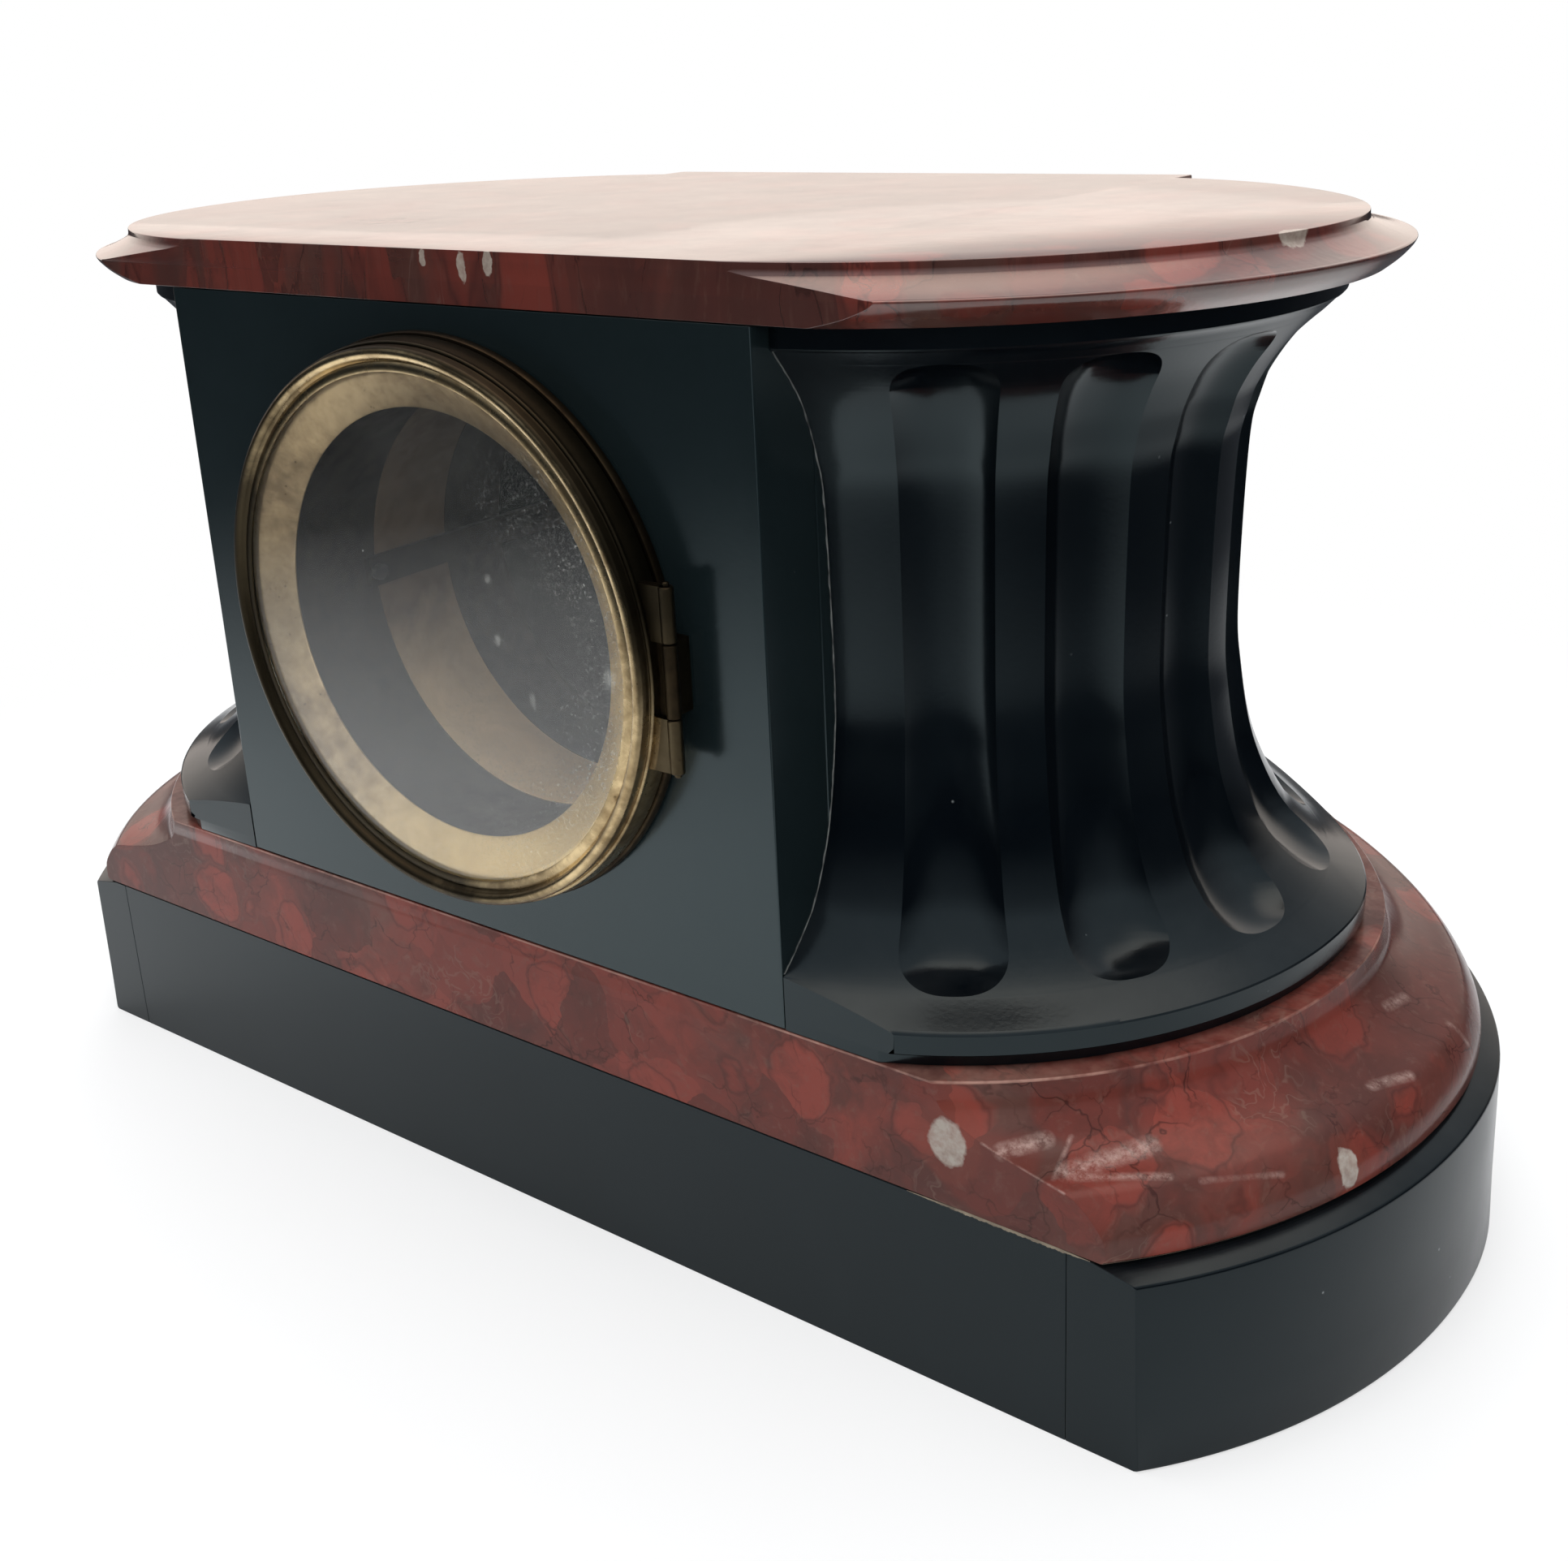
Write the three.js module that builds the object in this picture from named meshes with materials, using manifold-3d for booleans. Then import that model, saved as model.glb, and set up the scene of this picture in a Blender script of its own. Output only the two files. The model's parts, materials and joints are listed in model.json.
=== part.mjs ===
// Marble mantel clock: a slate and red marble case with fluted round ends, a glazed brass door in
// its flat back, and a striking pendulum movement behind a dial in its front.
// Millimetres, +Z up. The dial faces -Y and the flat back faces +Y. The origin is on the ground, in
// the middle of the object's bounding box.
import * as THREE from "three";
import { mergeVertices } from "three/addons/utils/BufferGeometryUtils.js";
import Module from "manifold-3d";

const wasm = await Module();
wasm.setup();

// Case, driving dimensions
const backY = 116.25; // flat back of every tier
const endX = 78.3; // axis of each round end, left and right of the middle
const endY = backY - 100.25;
const frontY = backY - 210; // front face of the middle block
const blockX = 94; // half width of the middle block
const slab = 20; // thickness of the slate panels
const gap = 0.3; // joint between touching pieces
const shoulder = 0.05; // how much the front corners of the round ends are flattened
const baseTop = 48.9;
const plinthTop = 79.1;
const bodyTop = 238.5;
const caseTop = 251.1;
const endSteps = 16; // straight steps in half a round end

// Slate base, cut into slabs round a plaster filling
const baseProfile = [[143.9, 0], [144.75, 0.9], [143.4, 46.8], [136, baseTop]];
const baseSeamX = 165.5; // end block meets the back slab
const baseCoreRadius = 100;
const baseBackThickness = 18;

// Fluted ends
const columnBow = 3; // how far the hollow stands nearer the back than the bands
const waistShoulder = 0.01; // how much the front corner is flattened
const footShoulder = 0.09;
const fasciaBottom = 233;
const fluteCount = 6;
const fluteSpacing = 23.3; // degrees
const fluteLead = 0.6; // degrees, the whole set is turned toward the back
const fluteHalfWidth = 7.5; // degrees
const fluteDepth = 5;
const fluteBottom = 92.5;
const fluteTop = 229.5;
const fluteEnd = 8; // height of each rounded end

// Round openings and their glazed doors
const dialZ = 162;
const holeRadius = 58;
const hingeX = 73.4; // from the door's middle to its hinge
const hingeOut = 7; // hinge axis, out from the face
const roundSteps = 32;

// Movement, behind the dial
const plateRadius = 52;
const frontPlate = [-84, -82];
const backPlate = [-44, -42];
const barrelPlace = [23.2, -16]; // from the dial's middle, mirrored for the striking side
const secondPlace = [17.33, 8.66];
const thirdPlace = [0, 17.74];
const escapePlace = [0, 34.22];
const palletPlace = [0, 47.4];
const pinWheelPlace = [-27, 25.4];
const minuteWheelPlace = [0, -12.1];
const hammerPlace = [-44, 8];
const pendulumY = -37;
const bobDrop = 102; // from the suspension's bend to the bob's middle

const slateColour = { color: 0x14191b, roughness: 0.35 };
const marbleColour = { color: 0x6f2d28, roughness: 0.3 };
const plasterColour = { color: 0xb9ad98, roughness: 0.9 };
const brassColour = { color: 0xa98a4d, roughness: 0.4, metalness: 1 };
const steelColour = { color: 0x7f8488, roughness: 0.35, metalness: 1 };
const glassColour = { color: 0xdfe7e6, roughness: 0.05, transparent: true, opacity: 0.3 };
const enamelColour = { color: 0xf1eee4, roughness: 0.2 };

const clock = new THREE.Group();

// A closed geometry as a solid with its faces outward.
function toSolid(geometry) {
  const loose = geometry.index ? geometry.toNonIndexed() : geometry.clone();
  loose.deleteAttribute("normal");
  loose.deleteAttribute("uv");
  const merged = mergeVertices(loose, 1e-4);
  const corners = merged.index.array;
  const kept = [];
  for (let i = 0; i < corners.length; i += 3) {
    const [a, b, c] = [corners[i], corners[i + 1], corners[i + 2]];
    if (a !== b && b !== c && c !== a) kept.push(a, b, c);
  }
  const build = (triVerts) => new wasm.Manifold(new wasm.Mesh({
    numProp: 3,
    vertProperties: merged.attributes.position.array,
    triVerts: new Uint32Array(triVerts),
  }));
  const made = build(kept);
  return made.volume() > 0 ? made : build(kept.reverse());
}

// Names a solid and places it in the clock.
function place(name, solid, colour) {
  const cut = solid.getMesh();
  const geometry = new THREE.BufferGeometry();
  geometry.setAttribute("position", new THREE.BufferAttribute(new Float32Array(cut.vertProperties), 3));
  geometry.setIndex(new THREE.BufferAttribute(new Uint32Array(cut.triVerts), 1));
  geometry.computeVertexNormals();
  const mesh = new THREE.Mesh(geometry, new THREE.MeshStandardMaterial(colour));
  mesh.name = name;
  clock.add(mesh);
}

// A box between two corners.
function block(low, high) {
  const size = high.map((value, i) => value - low[i]);
  const geometry = new THREE.BoxGeometry(...size);
  geometry.translate(...low.map((value, i) => value + size[i] / 2));
  return toSolid(geometry);
}

// A solid through closed rings of points, each ring at its own level.
function loft(rings) {
  const count = rings[0].length;
  const points = rings.flat();
  const faces = [];
  for (let level = 0; level + 1 < rings.length; level++) {
    for (let i = 0; i < count; i++) {
      const next = (i + 1) % count;
      const here = level * count;
      faces.push(here + i, here + next, here + count + next);
      faces.push(here + i, here + count + next, here + count + i);
    }
  }
  for (const [level, order] of [[0, -1], [rings.length - 1, 1]]) {
    const middle = points.length;
    const sum = rings[level].reduce((total, p) => total.clone().add(p), new THREE.Vector3());
    points.push(sum.divideScalar(count));
    for (let i = 0; i < count; i++) {
      const pair = [level * count + i, level * count + ((i + 1) % count)];
      faces.push(middle, ...(order > 0 ? pair : pair.reverse()));
    }
  }
  const geometry = new THREE.BufferGeometry().setFromPoints(points);
  geometry.setIndex(faces);
  return toSolid(geometry);
}

// A smooth profile of [radius, height] pairs through a few of its points.
function smooth(pairs, steps) {
  const curve = new THREE.SplineCurve(pairs.map(([r, z]) => new THREE.Vector2(r, z)));
  return curve.getPoints(steps).map((p) => [p.x, p.y]);
}

// Everything in front of the flat back.
function cutBack(solid) {
  return solid.intersect(block([-400, -400, -1], [400, backY, 400]));
}

// A round end is a little flatter at its front corner: its radius there, as a share of the full one.
function flattened(turn, amount) {
  return turn < 0 ? 1 - amount * Math.sin(2 * turn) ** 2 : 1;
}

// One level of a tier: two round ends joined by straight runs.
function tierRing(radius, z) {
  const ring = [];
  for (const side of [1, -1]) {
    for (let i = 0; i <= endSteps; i++) {
      const turn = side * (0.5 - i / endSteps) * Math.PI;
      const r = radius * flattened(turn, shoulder);
      const x = side * (endX + r * Math.cos(turn));
      ring.push(new THREE.Vector3(x, endY + r * Math.sin(turn), z));
    }
  }
  return ring;
}

function tier(profile) {
  return cutBack(loft(profile.map(([radius, z]) => tierRing(radius, z))));
}

// A turned piece about an axis along Y through [x, z above the dial's middle].
function turned(profile, [x, up] = [0, 0], steps = roundSteps) {
  const outline = profile.map(([radius, y]) => new THREE.Vector2(radius, y));
  const geometry = new THREE.LatheGeometry(outline, steps);
  geometry.translate(x, 0, dialZ + up);
  return toSolid(geometry);
}

// A plain round bar along Y.
function bar(radius, from, to, spot, steps = 12) {
  return turned([[0, from], [radius, from], [radius, to], [0, to]], spot, steps);
}

// A washer along Y.
function tube(inner, outer, from, to, spot, steps = roundSteps) {
  return turned([[inner, from], [outer, from], [outer, to], [inner, to], [inner, from]], spot, steps);
}

// A flat outline, drawn as seen from the front, given thickness along Y.
function plate(shape, from, to, [x, up] = [0, 0], turn = 0) {
  const options = { depth: to - from, bevelEnabled: false, curveSegments: 12 };
  const geometry = new THREE.ExtrudeGeometry(shape, options);
  geometry.rotateX(Math.PI / 2);
  geometry.translate(0, to, 0);
  geometry.rotateY(turn);
  geometry.translate(x, 0, dialZ + up);
  return toSolid(geometry);
}

function outline(pairs) {
  return new THREE.Shape(pairs.map(([x, y]) => new THREE.Vector2(x, y)));
}

// A wheel or pinion with pointed teeth, cut thin so that each pair runs freely.
function toothed({ teeth, pitchRadius, phase, from, to, spot, lean = 0 }) {
  const size = (2 * pitchRadius) / teeth;
  const step = (2 * Math.PI) / teeth;
  const points = [];
  for (let i = 0; i < teeth; i++) {
    const tip = phase + i * step;
    const root = tip + step * (0.5 + lean);
    for (const [radius, angle] of [[pitchRadius + 0.7 * size, tip], [pitchRadius - 1.4 * size, root]]) {
      points.push([radius * Math.cos(angle), radius * Math.sin(angle)]);
    }
  }
  return plate(outline(points), from, to, spot);
}

// The phase that puts a gap of the driven wheel on a tooth of its driver.
function meshPhase(driver, driverTeeth, driverPhase, driven, drivenTeeth) {
  const line = Math.atan2(driven[1] - driver[1], driven[0] - driver[0]);
  const offset = ((line - driverPhase) * driverTeeth) / (2 * Math.PI);
  return line + Math.PI + ((offset - Math.floor(offset) - 0.5) * 2 * Math.PI) / drivenTeeth;
}

function mirrored([x, up]) {
  return [-x, up];
}

// Base: curved end blocks, straight front and back slabs, plaster inside
function addBase() {
  const whole = tier(baseProfile);
  const core = tier([[baseCoreRadius, 0], [baseCoreRadius, baseTop]]);
  const backFace = backY - baseBackThickness;
  const backStrip = block([-baseSeamX + gap, backFace, 0], [baseSeamX - gap, backY, baseTop]);
  const clearStrip = block([-baseSeamX, backFace - gap, -1], [baseSeamX, backY + 1, 60]);
  const shell = whole.subtract(core).subtract(clearStrip);
  const frontEdge = endY - baseCoreRadius;
  place("base_end_left", shell.intersect(block([-300, -300, -1], [-endX - gap, 300, 60])), slateColour);
  place("base_end_right", shell.intersect(block([endX + gap, -300, -1], [300, 300, 60])), slateColour);
  place("base_front_slab", shell.intersect(block([-endX, -300, -1], [endX, frontEdge, 60])), slateColour);
  place("base_back_slab", whole.intersect(backStrip), slateColour);
  const inner = tier([[baseCoreRadius - gap, 0], [baseCoreRadius - gap, baseTop]]);
  place("base_filling", inner.subtract(clearStrip), plasterColour);
}

// Red marble plinth with its ogee moulding
function addPlinth() {
  const swell = [[138.7, 54.6], [134.5, 62], [124.2, 66.4]];
  const neck = [[117, 71], [114.5, 75], [114.2, plinthTop]];
  const ogee = smooth([...swell, ...neck], 10);
  place("plinth_moulding", tier([[138.7, baseTop + gap], ...ogee]), marbleColour);
}

// Middle block: four slate panels round the movement
function addPanels() {
  const bottom = plinthTop + gap;
  const opening = bar(holeRadius, -300, 300, [0, 0], roundSteps);
  const front = block([-blockX, frontY, bottom], [blockX, frontY + slab, bodyTop]);
  const back = block([-blockX, backY - slab, bottom], [blockX, backY, bodyTop]);
  place("body_front_panel", front.subtract(opening), slateColour);
  place("body_back_panel", back.subtract(opening), slateColour);
  const inner = [frontY + slab + gap, backY - slab - gap];
  const left = block([-blockX, inner[0], bottom], [slab - blockX, inner[1], bodyTop]);
  const right = block([blockX - slab, inner[0], bottom], [blockX, inner[1], bodyTop]);
  place("body_left_cheek", left, slateColour);
  place("body_right_cheek", right, slateColour);
}

// How far a flute reaches at a height: its width and depth as shares of the full ones.
function fluteReach(z) {
  const into = Math.min(z - fluteBottom, fluteTop - z) / fluteEnd;
  if (into <= 0) return 0;
  return into >= 1 ? 1 : Math.sqrt(1 - (1 - into) ** 2);
}

// How much a fluted end's front corner is flattened at a height: most at its foot, not at all at its top.
function columnShoulder(z) {
  const { clamp } = THREE.MathUtils;
  const underTop = clamp((fasciaBottom - z) / 28, 0, 1);
  const inFoot = clamp((105 - z) / 15, 0, 1);
  return waistShoulder * underTop + (footShoulder - waistShoulder) * inFoot;
}

// How far the hollow stands nearer the back at a height.
function bowAt(z) {
  const { clamp } = THREE.MathUtils;
  return columnBow * clamp((z - 88) / 12, 0, 1) * clamp((fasciaBottom - z) / 20, 0, 1);
}

// One level of a fluted end, from the middle block's side round to the other.
function columnRing(radius, z) {
  const faceX = blockX + gap;
  const amount = columnShoulder(z);
  const bow = bowAt(z);
  const limit = Math.acos((faceX - endX) / radius);
  const reach = fluteReach(z);
  const ring = [];
  const push = (angle, depth) => {
    const bowed = radius - bow * (1 - Math.sin(angle)) - depth;
    const r = bowed * flattened(angle, amount);
    const x = Math.max(faceX, endX + r * Math.cos(angle));
    ring.push(new THREE.Vector3(x, endY + r * Math.sin(angle), z));
  };
  push(limit, 0);
  for (let i = fluteCount - 1; i >= 0; i--) {
    const middle = THREE.MathUtils.degToRad((i - (fluteCount - 1) / 2) * fluteSpacing + fluteLead);
    const half = THREE.MathUtils.degToRad(fluteHalfWidth * Math.max(reach, 0.25));
    for (const across of [1, 0.6, 0, -0.6, -1]) {
      push(middle + across * half, fluteDepth * reach * (1 - across * across));
    }
  }
  push(-limit, 0);
  return ring;
}

// Fluted round ends: a hollow curve between two plain bands
function addColumns() {
  const bottom = plinthTop + gap;
  const lower = [[108.3, bottom], [108.3, 82.3], [110, 82.5], [110, 87.8]];
  const flare = [[109, 88.2], [100.5, 93.5], [92.3, 101], [87.4, 107.5], [82, 121]];
  const waist = [[78.8, 138], [77.5, 155], [78.7, 195], [81, 208], [86, 221], [94.6, 232.4]];
  const hollow = smooth([...flare, ...waist], 14);
  const upper = [[95.6, fasciaBottom], [95.6, bodyTop]];
  const levels = [...lower, ...hollow, ...upper];
  for (const z of [fluteBottom, fluteBottom + 2, fluteTop - 2, fluteTop]) {
    const above = levels.findIndex((level) => level[1] > z);
    const [a, b] = [levels[above - 1], levels[above]];
    const share = (z - a[1]) / (b[1] - a[1]);
    levels.splice(above, 0, [a[0] + share * (b[0] - a[0]), z]);
  }
  const right = cutBack(loft(levels.map(([radius, z]) => columnRing(radius, z))));
  const flip = (p) => new THREE.Vector3(-p.x, p.y, p.z);
  const left = cutBack(loft(levels.map(([radius, z]) => columnRing(radius, z).map(flip))));
  place("column_left", left, slateColour);
  place("column_right", right, slateColour);
}

// One level of the top slab: round ends, and a straight middle that steps forward
function topRing(radius, z) {
  const plateauRadius = 100.6;
  const lip = radius - plateauRadius;
  const stepX = blockX + lip;
  const limit = -Math.acos((stepX - endX) / radius);
  const half = [new THREE.Vector3(endX, endY + radius, z)];
  for (let i = 1; i <= endSteps; i++) {
    const turn = Math.PI / 2 + (i / endSteps) * (limit - Math.PI / 2);
    half.push(new THREE.Vector3(endX + radius * Math.cos(turn), endY + radius * Math.sin(turn), z));
  }
  half.push(new THREE.Vector3(stepX, frontY - lip, z));
  const flip = (p) => new THREE.Vector3(-p.x, p.y, p.z);
  return [...half, ...half.map(flip).reverse()];
}

// Red marble top with a sharp lip
function addTop() {
  const bottom = bodyTop + gap;
  const profile = [[104.5, bottom], [107, 240.4], [109.2, 243], [110, 245.6], [107.1, 246.4], [101.6, 248]];
  profile.push([101, 249.5], [100.6, caseTop]);
  const rings = profile.map(([radius, z]) => topRing(radius, z));
  place("top_slab", cutBack(loft(rings)), marbleColour);
}

// A hinged glazed door. Heights are out from the face it stands on; the hinge is at hingeSide.
function addDoor(prefix, face, outward, hingeSide, seat) {
  const out = (profile) => profile.map(([radius, height]) => [radius, face + outward * height]);
  const round = (profile) => turned(out([...profile, profile[0]]));
  const upright = (radius, low, high) => {
    const geometry = new THREE.CylinderGeometry(radius, radius, high - low, 10);
    geometry.rotateX(Math.PI / 2);
    geometry.translate(hingeSide * hingeX, face + outward * hingeOut, dialZ + (low + high) / 2);
    return toSolid(geometry);
  };
  const leaf = (fromX, toX, fromOut, toOut, low, high) => {
    const xs = [hingeSide * fromX, hingeSide * toX].sort((a, b) => a - b);
    const ys = [face + outward * fromOut, face + outward * toOut].sort((a, b) => a - b);
    return block([xs[0], ys[0], dialZ + low], [xs[1], ys[1], dialZ + high]);
  };
  const knuckle = 2.2;
  const pinHole = upright(1.1, -30, 30);
  const flange = [[holeRadius - 0.4, gap], [72, gap], [72, 2.3], [71.5, 2.8]];
  const ring = round([...flange, ...seat])
    .add(leaf(71.4, hingeX, 0.5, hingeOut, -8.5, 8.5))
    .add(upright(knuckle, -8.5, 8.5));
  place(prefix + "_fixed_ring", ring.subtract(pinHole), brassColour);
  const rim = [[71, 3.3], [71, 7.6], [70.2, 8.6], [70.2, 9.6], [69, 11.9], [67.4, 12.5], [65.6, 11.6]];
  let bezel = round([...rim, [62.8, 11.2], [62.8, 10.7], [64.5, 10.7], [64.5, 3.3]]);
  for (const [low, high] of [[-21.5, -8.8], [8.8, 21.5]]) {
    bezel = bezel.add(leaf(65.5, hingeX, 5.6, 8.2, low, high)).add(upright(knuckle, low, high));
  }
  bezel = bezel.add(leaf(-73.6, -68, 4.2, 6.4, -5, 5));
  place(prefix + "_bezel", bezel.subtract(pinHole), brassColour);
  const cone = [[64.2, 8.6], [64.2, 7.7], [62, 7.7], [53.5, 3.4], [53.5, 4.2], [61.8, 8.6]];
  place(prefix + "_sight_ring", round(cone), brassColour);
  const glass = [[0, 8.9], [64.2, 8.9], [64.2, 10], [63.6, 10.4], [0, 10.4]];
  place(prefix + "_glass", turned(out(glass)), glassColour);
  place(prefix + "_hinge_pin", upright(0.8, -22.5, 22.5), brassColour);
}

// Front and rear doors; each seat is the inside of the ring that lines the opening
function addDoors() {
  const collar = holeRadius - 0.4;
  const rearSeat = [[55.5, 2.8], [55.5, -24], [collar, -24]];
  addDoor("rear", backY, 1, -1, rearSeat);
  const shoulder = [[51, -2.05], [51, -9.45], [55.6, -9.45]];
  const frontSeat = [[55.6, 2.8], [55.6, -2.05], ...shoulder, [55.6, -19.7], [collar, -19.7]];
  addDoor("front", frontY, -1, 1, frontSeat);
}

// Dial and hands, set to ten past ten
function addDial() {
  const windingHole = (spot) => bar(3.6, -100, -80, spot, 16);
  const disc = tube(3.5, 55.2, -93.6, -92);
  const holes = windingHole(barrelPlace).add(windingHole(mirrored(barrelPlace)));
  place("dial", disc.subtract(holes), enamelColour);
  const minuteTurn = THREE.MathUtils.degToRad(60);
  const hourTurn = THREE.MathUtils.degToRad(305);
  const hand = (length, eye, from, to, bore, boss, turn) => {
    const neck = length * 0.7;
    const blade = outline([[-1.5, -9], [1.5, -9], [1, 0], [0.9, neck], [0, length], [-0.9, neck], [-1, 0]]);
    const moon = tube(eye, eye + 1.4, from, to, [0, 0], 16);
    const raise = length * 0.66;
    const lifted = moon.translate([Math.sin(turn) * raise, 0, Math.cos(turn) * raise]);
    const centre = bar(boss, from, to, [0, 0], 16);
    const hole = bar(bore, from - 1, to + 1, [0, 0], 16);
    return plate(blade, from, to, [0, 0], turn).add(lifted).add(centre).subtract(hole);
  };
  place("hour_hand", hand(30, 2.2, -96, -95, 3.3, 4.6, hourTurn), steelColour);
  place("minute_hand", hand(44, 1.8, -99, -98, 1.9, 3.4, minuteTurn), steelColour);
  place("hand_nut", tube(1.3, 2.6, -101, -99.3, [0, 0], 12), brassColour);
}

// Wheels between the front plate and the dial that slow the hour hand to a twelfth
function addMotionWork() {
  const size = 0.6;
  const cannon = { teeth: 10, pitchRadius: size * 5, phase: 0, from: -88.5, to: -86.5, spot: [0, 0] };
  const pipe = bar(1.6, -99.2, -86.5, [0, 0], 12);
  const bore = bar(1.25, -110, -80, [0, 0], 12);
  place("cannon_pinion", toothed(cannon).add(pipe).subtract(bore), steelColour);
  const spot = minuteWheelPlace;
  const wheelPhase = meshPhase([0, 0], 10, 0, spot, 30);
  const slowed = { teeth: 30, pitchRadius: size * 15, phase: wheelPhase, from: -88.1, to: -86.9, spot };
  const wheel = toothed(slowed);
  const leaves = toothed({ teeth: 8, pitchRadius: size * 4, phase: 0, from: -91, to: -88, spot });
  place("minute_wheel", wheel.add(leaves).subtract(bar(1.2, -100, -80, spot)), brassColour);
  const hourPhase = meshPhase(spot, 8, 0, [0, 0], 32);
  const last = { teeth: 32, pitchRadius: size * 16, phase: hourPhase, from: -90.8, to: -89.2, spot: [0, 0] };
  const hour = toothed(last);
  const sleeve = bar(3, -96.2, -89.2, [0, 0], 16);
  place("hour_wheel", hour.add(sleeve).subtract(bar(1.95, -110, -80, [0, 0], 16)), brassColour);
}

// Plates, pillars, and the straps that pull the movement and the rear ring together
function addFrame() {
  const pillarPlaces = [[20.1, -43], [-20.1, -43], [41.1, 23.75], [-41.1, 23.75]];
  const windings = [barrelPlace, mirrored(barrelPlace)];
  const arbors = [[0, 0], secondPlace, mirrored(secondPlace), thirdPlace, escapePlace];
  arbors.push(palletPlace, pinWheelPlace, hammerPlace);
  const plateWithHoles = ([from, to]) => {
    let made = bar(plateRadius, from, to, [0, 0], roundSteps);
    for (const spot of arbors) made = made.subtract(bar(1.5, from - 1, to + 1, spot, 10));
    for (const spot of windings) made = made.subtract(bar(3, from - 1, to + 1, spot, 12));
    return made;
  };
  const stud = bar(0.9, -91.3, -83, minuteWheelPlace, 8);
  place("front_plate", plateWithHoles(frontPlate).add(stud), brassColour);
  place("back_plate", plateWithHoles(backPlate), brassColour);
  pillarPlaces.forEach((spot, i) => {
    const from = frontPlate[1] + gap;
    const to = backPlate[0] - gap;
    const shape = [[0, from], [3.2, from], [3.2, from + 3], [2.3, from + 5], [2.3, to - 5], [3.2, to - 3]];
    place("pillar_" + (i + 1), turned([...shape, [3.2, to], [0, to]], spot, 10), brassColour);
  });
  for (const [name, side] of [["left", -1], ["right", 1]]) {
    const xs = [side * 53.1, side * 55.05].sort((a, b) => a - b);
    const strap = block([xs[0], -81, dialZ - 4], [xs[1], backY - 20, dialZ + 4]);
    const screwAxis = (radius, from, to) => {
      const geometry = new THREE.CylinderGeometry(radius, radius, to - from, 12);
      geometry.rotateZ(Math.PI / 2);
      geometry.translate((side * (from + to)) / 2, backY - 22.4, dialZ);
      return toSolid(geometry);
    };
    place("strap_" + name, strap.subtract(screwAxis(1.4, 50, 60)), brassColour);
    place("strap_screw_" + name, screwAxis(2.2, 51.1, 52.8).add(screwAxis(1.1, 52.5, 55)), steelColour);
  }
}

// An arbor with its wheel and pinion in one piece
function arborWith(spot, parts, from = -83.5, to = -42.5, radius = 0.9) {
  let made = bar(radius, from, to, spot, 10);
  for (const part of parts) made = made.add(toothed({ ...part, spot }));
  return made;
}

// Going train, from the spring barrel to the escape wheel
function addGoingTrain() {
  place("time_barrel", barrel(barrelPlace, 0), brassColour);
  place("time_winding_arbor", windingArbor(barrelPlace), steelColour);
  const secondPhase = meshPhase(barrelPlace, 48, 0, secondPlace, 8);
  const secondWheel = { teeth: 48, pitchRadius: 16.5, phase: 0, from: -74, to: -72.5 };
  const secondPinion = { teeth: 8, pitchRadius: 3.6, phase: secondPhase, from: -68, to: -61.5 };
  place("second_wheel", arborWith(secondPlace, [secondWheel, secondPinion]), brassColour);
  const centrePhase = meshPhase(secondPlace, 48, 0, [0, 0], 8);
  const centreWheel = { teeth: 78, pitchRadius: 16.38, phase: 0, from: -80, to: -78.5 };
  const centrePinion = { teeth: 8, pitchRadius: 2.75, phase: centrePhase, from: -75, to: -71.5 };
  place("centre_wheel", arborWith([0, 0], [centreWheel, centrePinion], -101.5), brassColour);
  const thirdPhase = meshPhase([0, 0], 78, 0, thirdPlace, 6);
  const thirdWheel = { teeth: 72, pitchRadius: 15.12, phase: 0, from: -56, to: -54.5 };
  const thirdPinion = { teeth: 6, pitchRadius: 1.26, phase: thirdPhase, from: -81, to: -77.7 };
  place("third_wheel", arborWith(thirdPlace, [thirdWheel, thirdPinion], -83.5, -42.5, 0.6), brassColour);
  const escapePhase = meshPhase(thirdPlace, 72, 0, escapePlace, 6);
  const escapeWheel = { teeth: 36, pitchRadius: 10.1, phase: Math.PI / 2, from: -48.6, to: -47.4, lean: 0.3 };
  const escapePinion = { teeth: 6, pitchRadius: 1.26, phase: escapePhase, from: -58, to: -52.5 };
  place("escape_wheel", arborWith(escapePlace, [escapeWheel, escapePinion], -83.5, -42.5, 0.6), brassColour);
}

// A spring barrel: toothed great wheel and drum on a winding arbor
function barrel(spot, phase) {
  const wheel = toothed({ teeth: 48, pitchRadius: 21.6, phase, from: -66, to: -64, spot });
  return wheel.add(bar(19.2, -64.5, -48, spot, 24)).subtract(bar(2.9, -100, -40, spot, 16));
}

function windingArbor(spot) {
  const square = outline([[-2, -2], [2, -2], [2, 2], [-2, 2]]);
  return bar(2.5, -84.5, -42.5, spot, 12).add(plate(square, -95, -84, spot));
}

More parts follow.
